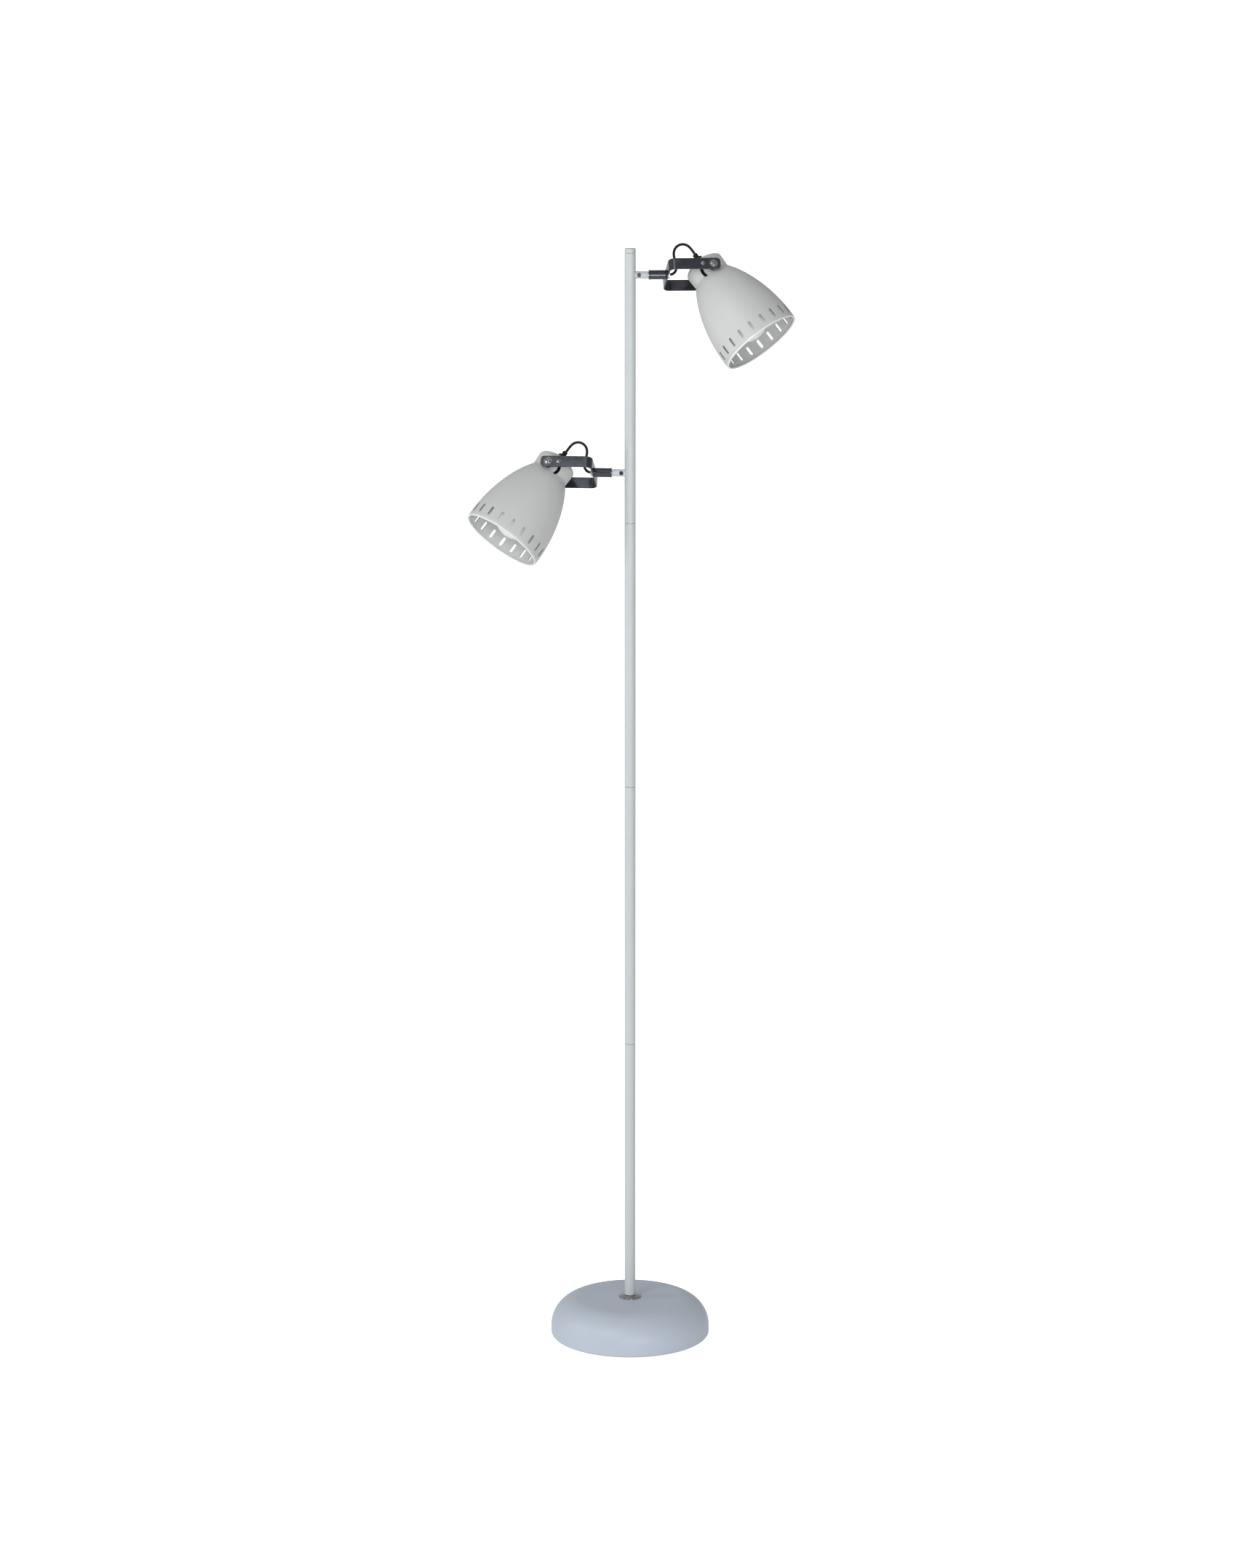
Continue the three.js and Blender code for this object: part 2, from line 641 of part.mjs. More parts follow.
// The shade's wall, moved in by `inset`, from the hole in its back to the rim.
function shadeOutline(inset) {
  const [hole, dome, shoulder, neck] = BACK_CURVE;
  const back = curvePoints([
    [hole[0], hole[1] + inset],
    [dome[0] - inset / 2, dome[1] + inset],
    [shoulder[0] - inset, shoulder[1] + inset],
    [neck[0] - inset, neck[1]],
  ], 3);
  const [crease, ...rest] = BELL_CURVE.map(([radius, height]) => [radius - inset, height]);
  const bell = curvePoints([[crease[0], crease[1] + inset / 2], ...rest], 5);
  return [...back, ...bell];
}

// A slot along Z with round ends, cut outwards along X.
function rimSlot() {
  const half = RIM_SLOT_WIDTH / 2;
  const reach = RIM_SLOT_LENGTH / 2 - half;
  const shape = new THREE.Shape();
  shape.absarc(0, reach, half, 0, Math.PI, false);
  shape.absarc(0, -reach, half, Math.PI, 2 * Math.PI, false);
  shape.closePath();
  const slot = new THREE.ExtrudeGeometry(shape, {
    depth: 2 * RIM_RADIUS - BULB_RADIUS, bevelEnabled: false, curveSegments: 2,
  });
  return slot.rotateX(Math.PI / 2).rotateZ(Math.PI / 2).translate(BULB_RADIUS, 0, RIM_SLOT_PLACE);
}

// The curved slot for the stop screw. The screw stands at 270 degrees minus the tilt, seen along Y.
function stopSlot(side, tilt) {
  const from = 1.5 * Math.PI - tilt - TILT_DOWN - STOP_SLOT_MARGIN;
  const to = 1.5 * Math.PI - tilt + TILT_UP + STOP_SLOT_MARGIN;
  const [inner, outer] = [STOP_OFFSET - STOP_SLOT_HALF, STOP_OFFSET + STOP_SLOT_HALF];
  const place = (angle) => [STOP_OFFSET * Math.cos(angle), STOP_OFFSET * Math.sin(angle)];
  const shape = new THREE.Shape();
  shape.absarc(0, 0, outer, from, to, false);
  shape.absarc(...place(to), STOP_SLOT_HALF, to, to + Math.PI, false);
  shape.absarc(0, 0, inner, to, from, true);
  shape.absarc(...place(from), STOP_SLOT_HALF, from + Math.PI, from, false);
  shape.closePath();
  const slot = new THREE.ExtrudeGeometry(shape, {
    depth: NECK_RADIUS, bevelEnabled: false, curveSegments: 6,
  });
  // The shape's plane is X-Z, and it is cut towards the leg that holds the stop screw.
  slot.rotateX(Math.PI / 2);
  return slot.translate(0, side > 0 ? STOP_SLOT_DEPTH + NECK_RADIUS : -STOP_SLOT_DEPTH, 0);
}

function shadeGeometry(side, tilt) {
  const outer = shadeOutline(0);
  const inner = shadeOutline(SHADE_WALL).reverse();
  const shell = turnedRing([...outer, ...inner], BROAD).rotateZ(Math.PI / BROAD);
  const pivotBore = alongY(rod(PIVOT_SHANK + GAP, -2 * NECK_RADIUS, 2 * NECK_RADIUS));
  const slots = Array.from({ length: RIM_SLOT_COUNT }, (_, i) => (
    rimSlot().rotateZ((2 * Math.PI * i) / RIM_SLOT_COUNT)
  ));
  return cut(shell, pivotBore, stopSlot(side, tilt), ...slots);
}

// Round spacer between neck and strap, its inner end hollowed to the neck.
function spacerGeometry(direction) {
  const bore = PIVOT_SHANK + GAP;
  const face = STRAP_HALF_GAP - STRAP_THICKNESS / 2 - GAP;
  const plain = alongY(tube(PIVOT_SPACER_RADIUS, bore, NECK_RADIUS - PIVOT_SPACER_RADIUS / 2, face, COARSE));
  const neck = rod(NECK_RADIUS + GAP, -2 * PIVOT_SPACER_RADIUS, 2 * PIVOT_SPACER_RADIUS, BROAD);
  const hollowed = cut(plain, neck);
  return direction > 0 ? hollowed : hollowed.rotateX(Math.PI);
}

function holderGeometry() {
  const bore = STEM_RADIUS + GAP;
  const back = HOLDER_OUTSIDE[0][1];
  const front = HOLDER_OUTSIDE.at(-1)[1];
  return turnedRing([
    [bore, back],
    ...HOLDER_OUTSIDE,
    [HOLDER_BORE, front],
    [HOLDER_BORE, HOLDER_FLOOR],
    [bore, HOLDER_FLOOR],
  ]);
}

function bulbCapGeometry() {
  return turned([...BULB_CAP_OUTSIDE, ...BULB_CAP_INSIDE], MEDIUM);
}

// The bulb's outline, moved in by `inset`: a neck that widens into a ball.
function bulbOutline(inset) {
  const neck = BULB_NECK_RADIUS - inset;
  const capEnd = BULB_CAP_OUTSIDE.at(-1)[1];
  const ball = arcPoints([0, BULB_CENTRE], BULB_RADIUS - inset, BULB_JOIN, Math.PI / 2, 7);
  const [[joinRadius, joinHeight]] = ball;
  return [
    [neck, BULB_NECK_START],
    [neck, capEnd + GAP],
    [(neck + joinRadius) / 2 - BULB_WAIST, (capEnd + joinHeight) / 2],
    ...ball.slice(0, -1),
    [0, BULB_CENTRE + BULB_RADIUS - inset],
  ];
}

function bulbGeometry() {
  return turned([...bulbOutline(GLASS_WALL).reverse(), ...bulbOutline(0)], COARSE);
}

function reliefGeometry() {
  const cableBore = LEAD_RADIUS + GAP;
  return turnedRing([
    [STEM_RADIUS + GAP, CAP_BACK - GAP],
    ...RELIEF_OUTSIDE,
    [cableBore, RELIEF_OUTSIDE.at(-1)[1]],
    [cableBore, STEM_START - GAP],
    [STEM_RADIUS + GAP, STEM_START - GAP],
  ], MEDIUM);
}

function buildShade(shadeGroup, name, side, tilt) {
  addPiece(shadeGroup, `${name}_shade`, shadeGeometry(side, tilt), MATERIALS.white);
  for (const [place, direction] of [['front', side], ['rear', -side]]) {
    addPiece(shadeGroup, `${name}_pivot_spacer_${place}`, spacerGeometry(direction), MATERIALS.blackPlastic);
  }
  const stem = tube(STEM_RADIUS, SPIGOT_BORE, STEM_START, STEM_END, MEDIUM);
  addPiece(shadeGroup, `${name}_holder_stem`, stem, MATERIALS.zinc);
  addPiece(shadeGroup, `${name}_strain_relief`, reliefGeometry(), MATERIALS.blackPlastic);
  addPiece(shadeGroup, `${name}_lampholder`, holderGeometry(), MATERIALS.blackPlastic);
  addPiece(shadeGroup, `${name}_bulb_cap`, bulbCapGeometry(), MATERIALS.nickel);
  addPiece(shadeGroup, `${name}_bulb_globe`, bulbGeometry(), MATERIALS.glass);
}

// ---------------------------------------------------------------- assembly

// Three nested frames per head: the arm's yaw, the yoke's roll about the arm, the shade's tilt.
function buildHead({ name, height, side, roll, tilt }) {
  const armGroup = new THREE.Group();
  armGroup.position.set(0, 0, height);
  armGroup.rotation.z = side > 0 ? ARM_YAW : Math.PI - ARM_YAW;
  group.add(armGroup);
  buildStub(armGroup, name, side);

  const headGroup = new THREE.Group();
  headGroup.rotation.x = Math.PI - side * roll;
  armGroup.add(headGroup);
  buildYoke(headGroup, name, side);

  const shadeGroup = new THREE.Group();
  shadeGroup.position.set(REACH, 0, 0);
  shadeGroup.rotation.y = Math.PI / 2 - tilt;
  headGroup.add(shadeGroup);
  buildShade(shadeGroup, name, side, tilt);
}

buildFoot();
buildPole();
buildPoleLeads();
ARMS.forEach(buildHead);

export default group;
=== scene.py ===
"""Adjustable arm floor lamp: the fine visual model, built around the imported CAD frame.

Every piece is made in a local frame in millimetres, then placed in the row frame in metres.
"""

import json
from math import ceil, cos, hypot, pi, radians, sin, sqrt, tan, tau

import bmesh
import bpy
from mathutils import Matrix, Vector
from mathutils.geometry import interpolate_bezier


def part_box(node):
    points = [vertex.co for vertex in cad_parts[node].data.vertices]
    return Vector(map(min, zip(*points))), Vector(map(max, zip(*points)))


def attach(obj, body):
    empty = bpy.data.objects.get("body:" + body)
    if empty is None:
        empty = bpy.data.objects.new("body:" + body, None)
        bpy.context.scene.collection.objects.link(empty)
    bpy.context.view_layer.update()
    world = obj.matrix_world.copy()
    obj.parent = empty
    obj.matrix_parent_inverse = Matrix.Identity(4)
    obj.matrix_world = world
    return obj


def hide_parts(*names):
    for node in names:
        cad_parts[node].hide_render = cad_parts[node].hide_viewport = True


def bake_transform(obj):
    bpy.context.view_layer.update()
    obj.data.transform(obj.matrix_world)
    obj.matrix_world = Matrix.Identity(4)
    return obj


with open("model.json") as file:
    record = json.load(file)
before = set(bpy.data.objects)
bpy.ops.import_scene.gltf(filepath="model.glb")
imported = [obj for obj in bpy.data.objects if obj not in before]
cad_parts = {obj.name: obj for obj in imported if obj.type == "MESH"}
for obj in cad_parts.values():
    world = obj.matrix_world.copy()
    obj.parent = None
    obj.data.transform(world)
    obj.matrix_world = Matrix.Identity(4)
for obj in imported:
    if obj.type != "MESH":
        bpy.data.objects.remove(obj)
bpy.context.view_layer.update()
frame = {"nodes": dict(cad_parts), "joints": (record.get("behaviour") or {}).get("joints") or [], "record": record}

# ------------------------------------ driving dimensions, in millimetres

MM = 0.001
FACETS = 96  # around most turned pieces
BROAD_FACETS = 192  # around the foot
SMALL_FACETS = 48  # around nuts, screws and leads
SEAT_GAP = 0.05  # what a fitted piece keeps clear of its neighbour
FINE_EDGE = 0.2  # usual rounding of corners
EDGE = 0.3
SOFT_EDGE = 0.5

# Foot
FOOT_SHOULDER = 39.5
COVER_WALL = 1.5
COVER_HOLE = 6.2
COVER_TUCK = 5  # the cover's lower edge is rolled in by this much
COVER_LIP = 0.5
PAD_EDGE = 0.8
BUSH_BORE = 3.4
BUSH_FLANGE = 6
BUSH_STEP = 1.3  # how far the bush's outer end stands in from its flange

# Pole
POLE_BORE = 6.3
CAP_EDGE = 1.8
CAP_CROWN = 0.3  # its middle stands above its shoulder by this
CAP_LIP = 0.3  # gap between the cap's rim and the tube
CAP_PLUG_RADIUS = 6
COLLAR_SHOULDER = 8.6
COLLAR_RIM = 1
COLLAR_EDGE = 0.8

# Arm and yoke, in the arm's frame: +X away from the pole
STUB_RADIUS = 4.9
STUB_BORE = 3.9
STUB_END = 23.6
SCREW_PLACE = 11.3
SCREW_POCKET = 2.8
GRUB_RADIUS = 2.5
GRUB_SINK = 0.35  # how far the screw's end stays below the stub's outside
GRUB_SOCKET = 1.25
GRUB_SOCKET_LIP = 0.2
GRUB_SOCKET_FLOOR = 0.4
SPIGOT_RADIUS = 3.6
SPIGOT_BORE = 2.3
SPIGOT_START = 4.6
SPIGOT_END = 53
SLEEVE_START = 24.8
SLEEVE_RADIUS = 6.6
SLEEVE_END = 47.5
SLEEVE_RING = 1.5  # width of the ring at its pole end
SLEEVE_STEP = 0.45
YOKE_BASE = 47.6
STRAP_THICKNESS = 1.8
STRAP_WIDTH = 15.6
STRAP_HALF_GAP = 35
STRAP_BEND = 7.9  # bend radius of the strap's middle
STRAP_CORNER = 4.5
STRAP_EDGE = 0.4
STRAP_OVERHANG = 9.6
END_STEPS = 8  # loops round a strap's rounded end
BEND_STEPS = 16
YOKE_NUT_RADIUS = 5.6
YOKE_NUT_HEIGHT = 3
NUT_CHAMFER = 0.45
NUT_CORNER = 0.7  # how far the chamfer cuts the corners in

# Pivot
STRAP_OUTSIDE = STRAP_HALF_GAP + STRAP_THICKNESS / 2
PIVOT_SHANK = 2
PIVOT_HEAD_RADIUS = 4.3
PIVOT_HEAD_HEIGHT = 2.2
PIVOT_WASHER_RADIUS = 5.7
PIVOT_WASHER_TEETH = 14
SHANK_END = 19.9
SHANK_EDGE = 0.4
PIVOT_NUT_RADIUS = 4
PIVOT_NUT_FACE = 24.2
PIVOT_NUT_HEIGHT = 3.4
SPACER_RADIUS = 6
SPACER_HEAD = 1.1
SPACER_STEP = 0.5
SPACER_EDGE = 0.2
STOP_OFFSET = 14.3
STOP_SHANK = 1.3
STOP_HEAD_RADIUS = 2.6
STOP_HEAD_HEIGHT = 1.3
STOP_WASHER_RADIUS = 3
STOP_WASHER_TEETH = 10
WASHER_THICKNESS = 0.6
WASHER_GAP = 0.1  # round the shank
WASHER_CORE = 0.8  # share of the washer's radius that is flat
TOOTH_SHARE = 0.84  # share of the radius between two teeth
TOOTH_LIFTS = (0.12, 0.25)  # under and on top
HEAD_SHOULDER = 0.72  # shares of a screw head's height and radius
HEAD_ROUND = 0.5
RECESS_SHARE = 0.56
RECESS_TAPER = 0.5
RECESS_DEPTH = 0.62
RECESS_ARM = 0.3
RECESS_LIP = (0.92, 0.15)  # share of its radius, and depth
RECESS_POINT = 0.08
STOP_SLOT_HALF = 2
STOP_SLOT_MARGIN = radians(3)
BORE_CLEARANCE = 0.3

# Shade, in its own frame: the pivot at the origin, the light thrown along +Z
SHADE_TILT = {"upper": radians(57.6), "lower": radians(59.2)}
SHADE_WALL = 1.4
STEM_HOLE = 5
NECK_RADIUS = 26.9
NECK_START = -12
CREASE = 5
CREASE_RADIUS = 26.2
RIM = 117.5
RIM_RADIUS = 55.2
RIM_BEAD = 1.3
BEAD_TURN = (0.12 * pi, 1.3 * pi)
BELL_STEPS = 44  # from the crease to the slots
RIM_GROOVE = 0.7  # how far the bead stands off the wall inside
CAP_BACK = -24.5
SLOT_COUNT = 20
SLOT_LENGTH = 13
SLOT_WIDTH = 3.4
SLOT_PLACE = 103.5
SLOT_EDGE = 0.3
BAND_HALF = 8.25  # half the height of the band that holds the slots
SECTOR_COLUMNS = 8
SECTOR_ROWS = 12
SECTOR_LOOPS = (0, 0.35, 0.65, 0.87, 1)  # shares of the way from the sector's edge to its slot
BACK_CURVE = [(STEM_HOLE, CAP_BACK), (13, -23), (26.6, -17.5), (NECK_RADIUS, NECK_START)]
BELL_CURVE = [(CREASE_RADIUS, CREASE), (46.5, 33), (57.2, 78), (RIM_RADIUS, RIM)]

# Lampholder and bulb, in the shade's frame
RELIEF_FLANGE = 6.2
RELIEF_COLLAR = 3.5
RELIEF_TIP = -34
RELIEF_HEIGHT = 3.4
RELIEF_FLOOR = 2.9
RIB_COUNT = 3
RIB_PITCH = 1.5
RIB_GAP = 0.4
RIB_FLANK = 0.1
RIB_CREST = 0.8
RIB_DEPTH = 0.35
RIB_EDGE = 0.15
HOLDER_BACK = -21.8
HOLDER_STEPS = [(7.5, 0, 0.8), (7.5, 5, 1), (16, 9, 2), (19, 14, 2)]  # radius, height from its back, fillet
HOLDER_RADIUS = 19
HOLDER_BORE = 14.4
HOLDER_FLOOR = -7
HOLDER_FRONT = 26
HOLDER_LIP = 7  # height of the stepped-in front
HOLDER_LIP_STEP = 0.9
THREAD_RADIUS = 13.1
THREAD_DEPTH = 0.55
THREAD_PITCH = 3.6
BULB_CAP_START = -5
BULB_CAP_END = 22
BULB_CAP_WALL = 1
CONTACT = [(0, 0), (3.6, 0.1), (4.2, 0.7), (4.2, 1.6)]  # radius, height from the cap's start
BULB_NECK = 12
BULB_NECK_BASE = 7
BULB_NECK_LEAN = 9  # how far the neck's curve holds each end's direction
BULB_RADIUS = 30
BULB_CENTRE = 78
BULB_JOIN = -0.22 * pi  # where the bulb's neck meets its ball
GLASS_WALL = 0.8

# Visible lead, in the yoke's frame: [along the arm, down the tilt direction]
LEAD_RADIUS = 1.8
LOOP_ROUTE = [
    (SPIGOT_END - 1.6, 0), (55, -0.3), (58.6, -2.2), (61.6, -6.4), (62.6, -12.6), (61.6, -19),
    (60.4, -25.6), (60.6, -32.4), (63.2, -38.4), (68, -42.4), (74, -43.6), (79.6, -41.6),
    (83.4, -37.6), (86, -33.6), (88.4, -29.6),
]
LOOP_STEPS = 12  # between two points of the route
LEAD_FACETS = 24

# Camera
CAMERA_PLACE = (-0.0035, -5.3, 1.78)
CAMERA_PITCH = radians(10.7)
CAMERA_LENS = 91.34

# Studio, in metres
LAMP_MIDDLE = (0, 0, 0.9)
FLOOR_HALF = 40
FLOOR_GLOW = 0.2
FLOOR_WHITE = 0.9  # what the camera sees on top of it
SKY_LEFT = 0.7
SKY_RIGHT = 0.36
SKY_TOP = 0.8  # share of the sky that is left overhead
SKY_TOP_START = 0.3  # height where it starts to dim, with 1 straight up
SOFTBOXES = {  # place, width and height, watts
    "key": ((-2.1, -3.0, 2.7), (1.6, 1.2), 44),
    "front": ((0.8, -4.1, 1.0), (1.8, 1.0), 46),
    "left": ((-2.0, -0.15, 0.9), (0.2, 0.5), 6),
    "strip": ((-0.3, -2.45, 4.15), (2.6, 0.3), 7),
}

joints = {joint["name"]: joint for joint in frame["joints"]}
slots = {part["node"]: part["material_slot"] for part in frame["record"]["subparts"]}

# ------------------------------------ camera


def build_camera():
    camera = bpy.data.objects.new("camera", bpy.data.cameras.new("camera"))
    camera.data.lens = CAMERA_LENS
    camera.location = CAMERA_PLACE
    camera.rotation_euler = (pi / 2 - CAMERA_PITCH, 0, 0)
    bpy.context.scene.collection.objects.link(camera)
    bpy.context.scene.camera = camera


# ------------------------------------ shapes: (points, faces) in millimetres


def filleted(corners, steps=4, closed=True):
    """The outline through (x, y, fillet radius) corners, with each corner rounded."""
    outline = []
    for i, (x, y, radius) in enumerate(corners):
        here = Vector((x, y))
        is_end = not closed and i in (0, len(corners) - 1)
        if radius == 0 or is_end:
            outline.append((x, y))
            continue
        before = (Vector(corners[i - 1][:2]) - here).normalized()
        after = (Vector(corners[(i + 1) % len(corners)][:2]) - here).normalized()
        half = before.angle(after) / 2
        centre = here + (before + after).normalized() * (radius / sin(half))
        start = here + before * (radius / tan(half)) - centre
        end = here + after * (radius / tan(half)) - centre
        outline += [tuple(centre + radius * start.slerp(end, k / steps)) for k in range(steps + 1)]
    return outline


def curve_points(ends, steps):
    """Points of a cubic curve in (radius, height)."""
    knots = [Vector((x, y, 0)) for x, y in ends]
    return [(p.x, p.y) for p in interpolate_bezier(*knots, steps + 1)]


def arc_points(centre, radius, start, end, steps):
    angles = [start + (end - start) * i / steps for i in range(steps + 1)]
    return [(centre[0] + radius * cos(a), centre[1] + radius * sin(a)) for a in angles]


def turned(profile, facets=FACETS, closed=True):
    """A profile of (radius, height) points turned about Z. A third entry shapes that ring:
    it gives a share of the radius and a lift for each angle."""
    points, rings, faces = [], [], []
    for radius, height, *outline in profile:
        around = 1 if radius == 0 else facets
        rings.append(range(len(points), len(points) + around))
        for i in range(around):
            angle = tau * i / facets
            share, lift = outline[0](angle) if outline else (1, 0)
            points.append((radius * share * cos(angle), radius * share * sin(angle), height + lift))
    following = rings[1:] + rings[:1] if closed else rings[1:]
    for low, high in zip(rings, following):
        for i in range(facets):
            j = (i + 1) % facets
            corners = [low[i % len(low)], low[j % len(low)], high[j % len(high)], high[i % len(high)]]
            face = list(dict.fromkeys(corners))
            if len(face) > 2:
                faces.append(face)
    return points, faces


def rod(radius, start, end, facets=SMALL_FACETS):
    return turned([(0, start), (radius, start), (radius, end), (0, end)], facets, closed=False)


def tube(radius, bore, start, end, edge=0.0, facets=FACETS):
    outline = [(bore, start, 0), (radius, start, edge), (radius, end, edge), (bore, end, 0)]
    return turned(filleted(outline), facets)


def prism(outline, start, end):
    """A closed outline in (x, z), carried along Y."""
    count = len(outline)
    points = [(x, y, z) for y in (start, end) for x, z in outline]
    sides = [(i, (i + 1) % count, (i + 1) % count + count, i + count) for i in range(count)]
    return points, [*sides, tuple(range(count)), tuple(range(count, 2 * count))]


def swept(loops):
    """A skin over loops of equal length, closed at both ends."""
    count = len(loops[0])
    points = [point for loop in loops for point in loop]
    faces = []
    for row in range(len(loops) - 1):
        for i in range(count):
            j = (i + 1) % count
            faces.append((row * count + i, row * count + j, (row + 1) * count + j, (row + 1) * count + i))
    last = (len(loops) - 1) * count
    return points, [*faces, tuple(range(count)), tuple(range(last, last + count))]


def moved(shape, matrix):
    points, faces = shape
    return [tuple(matrix @ Vector(point)) for point in points], faces


def joined(*shapes):
    points, faces = [], []
    for more_points, more_faces in shapes:
        start = len(points)
        points += more_points
        faces += [[start + corner for corner in face] for face in more_faces]
    return points, faces


def to_mesh(name, shape):
    """A mesh with its doubled points merged and its faces turned out."""
    mesh = bpy.data.meshes.new(name)
    mesh.from_pydata(shape[0], [], shape[1])
    work = bmesh.new()
    work.from_mesh(mesh)
    bmesh.ops.remove_doubles(work, verts=work.verts, dist=MM)
    bmesh.ops.dissolve_degenerate(work, edges=work.edges, dist=MM)
    bmesh.ops.recalc_face_normals(work, faces=work.faces)
    work.to_mesh(mesh)
    work.free()
    return mesh


def cut(shape, *tools):
    """The shape with closed tools taken away from it."""
    made = []
    for part in (shape, *tools):
        helper = bpy.data.objects.new("helper", to_mesh("helper", part))
        bpy.context.scene.collection.objects.link(helper)
        made.append(helper)
    body = made[0]
    for tool in made[1:]:
        modifier = body.modifiers.new("cut", "BOOLEAN")
        modifier.solver = "EXACT"
        modifier.object = tool
    result = body.evaluated_get(bpy.context.evaluated_depsgraph_get()).to_mesh()
    left = ([tuple(v.co) for v in result.vertices], [tuple(p.vertices) for p in result.polygons])
    for helper in made:
        bpy.data.objects.remove(helper)
    return left


def along_x():
    return Matrix.Rotation(pi / 2, 4, "Y")


def facing(sign):
    """Turns +Z to +Y or to -Y."""
    return Matrix.Rotation(-sign * pi / 2, 4, "X")


# Ring outlines: a share of the radius and a lift for each angle.


def hexagon(angle):
    return cos(pi / 6) / cos(angle % (pi / 3) - pi / 6), 0


def cross(angle):
    """A cross recess, with arms about a quarter as wide as the recess."""
    off_arm = abs((angle + pi / 4) % (pi / 2) - pi / 4)
    return min(1, RECESS_ARM / max(sin(off_arm), 0.01)), 0


def toothed(count, lift):
    """Twisted teeth round a lock washer."""
    def outline(angle):
        turn = angle * count / tau % 1
        return (1, lift * (4 * turn - 1)) if turn < 0.5 else (TOOTH_SHARE, 0)
    return outline


# ------------------------------------ pieces


def millimetres(matrix=None):
    """From millimetres in a local frame to metres in the row frame."""
    return (matrix or Matrix.Identity(4)) @ Matrix.Scale(MM, 4)


def add_piece(name, shape, place, body, stands_for, sharp=40):
    """A finished piece on its body, if it has just one. It stands for one CAD node and takes its finish."""
    mesh = to_mesh(name, shape)
    mesh.transform(place)
    mesh.shade_smooth()
    mesh.set_sharp_from_angle(angle=radians(sharp))
    made = bpy.data.objects.new(name, mesh)
    bpy.context.scene.collection.objects.link(made)
    normals = made.modifiers.new("normals", "WEIGHTED_NORMAL")
    normals.keep_sharp = True
    slot = slots[stands_for]
    mesh.materials.append(materials[slot])
    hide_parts(stands_for)
    if body:
        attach(made, body)
    return made


# ------------------------------------ materials


def new_material(name, roughness, metallic=0.0, **sockets):
    material = bpy.data.materials.new(name)
    material.use_nodes = True
    shader = material.node_tree.nodes["Principled BSDF"]
    shader.inputs["Roughness"].default_value = roughness
    shader.inputs["Metallic"].default_value = metallic
    for socket, value in sockets.items():
        shader.inputs[socket.replace("_", " ")].default_value = value
    return material, material.node_tree, shader


def pattern(tree, scale, detail=2.0, stretch=(1, 1, 1)):
    """Noise in the piece's own space, with `scale` in features per metre."""
    coordinates = tree.nodes.new("ShaderNodeTexCoord")
    mapping = tree.nodes.new("ShaderNodeMapping")
    mapping.inputs["Scale"].default_value = stretch
    noise = tree.nodes.new("ShaderNodeTexNoise")
    noise.inputs["Scale"].default_value = scale
    noise.inputs["Detail"].default_value = detail
    tree.links.new(coordinates.outputs["Object"], mapping.inputs["Vector"])
    tree.links.new(mapping.outputs["Vector"], noise.inputs["Vector"])
    return noise.outputs["Fac"]


def spread(tree, source, low, high, socket):
    """Maps a pattern's middle range onto low to high."""
    node = tree.nodes.new("ShaderNodeMapRange")
    node.inputs["From Min"].default_value = 0.3
    node.inputs["From Max"].default_value = 0.7
    node.inputs["To Min"].default_value = low
    node.inputs["To Max"].default_value = high
    tree.links.new(source, node.inputs["Value"])
    tree.links.new(node.outputs["Result"], socket)


def tint(tree, source, first, second, socket):
    ramp = tree.nodes.new("ShaderNodeValToRGB")
    ramp.color_ramp.elements[0].position = 0.3
    ramp.color_ramp.elements[0].color = (*first, 1)
    ramp.color_ramp.elements[1].position = 0.7
    ramp.color_ramp.elements[1].color = (*second, 1)
    tree.links.new(source, ramp.inputs["Fac"])
    tree.links.new(ramp.outputs["Color"], socket)


def emboss(tree, shader, source, depth, strength=1.0):
    """Raises the surface by up to `depth` metres where the pattern is high."""
    bump = tree.nodes.new("ShaderNodeBump")
    bump.inputs["Strength"].default_value = strength
    bump.inputs["Distance"].default_value = depth
    tree.links.new(source, bump.inputs["Height"])
    tree.links.new(bump.outputs["Normal"], shader.inputs["Normal"])


def scaled(colour, share):
    return tuple(channel * share for channel in colour)


def enamel(name, colour, roughness):
    """Stoved enamel: an even colour, a faint orange peel and slightly uneven gloss."""
    material, tree, shader = new_material(name, roughness, IOR=1.5)
    tint(tree, pattern(tree, 9), scaled(colour, 0.975), scaled(colour, 1.02), shader.inputs["Base Color"])
    spread(tree, pattern(tree, 45, 3), roughness - 0.05, roughness + 0.06, shader.inputs["Roughness"])
    emboss(tree, shader, pattern(tree, 700, 1), 0.00002, 0.35)
    return material


def plated(name, colour, roughness, smear=(1, 1, 1)):
    """Plated metal: a mirror with faint polishing marks and smudges."""
    material, tree, shader = new_material(name, roughness, metallic=1.0)
    tint(tree, pattern(tree, 30), scaled(colour, 0.94), scaled(colour, 1.05), shader.inputs["Base Color"])
    spread(tree, pattern(tree, 120, 4, smear), roughness * 0.7, roughness * 1.5, shader.inputs["Roughness"])
    emboss(tree, shader, pattern(tree, 900, 2, smear), 0.000006, 0.3)
    return material


def moulded(name, colour, roughness, grain, depth, gloss=0.5):
    """Moulded plastic, rubber or glaze with a fine grain."""
    material, tree, shader = new_material(name, roughness, Specular_IOR_Level=gloss)
    tint(tree, pattern(tree, 60), scaled(colour, 0.85), scaled(colour, 1.15), shader.inputs["Base Color"])
    spread(tree, pattern(tree, 200, 3), roughness - 0.06, roughness + 0.08, shader.inputs["Roughness"])
    emboss(tree, shader, pattern(tree, grain, 3), depth, 0.5)
    return material


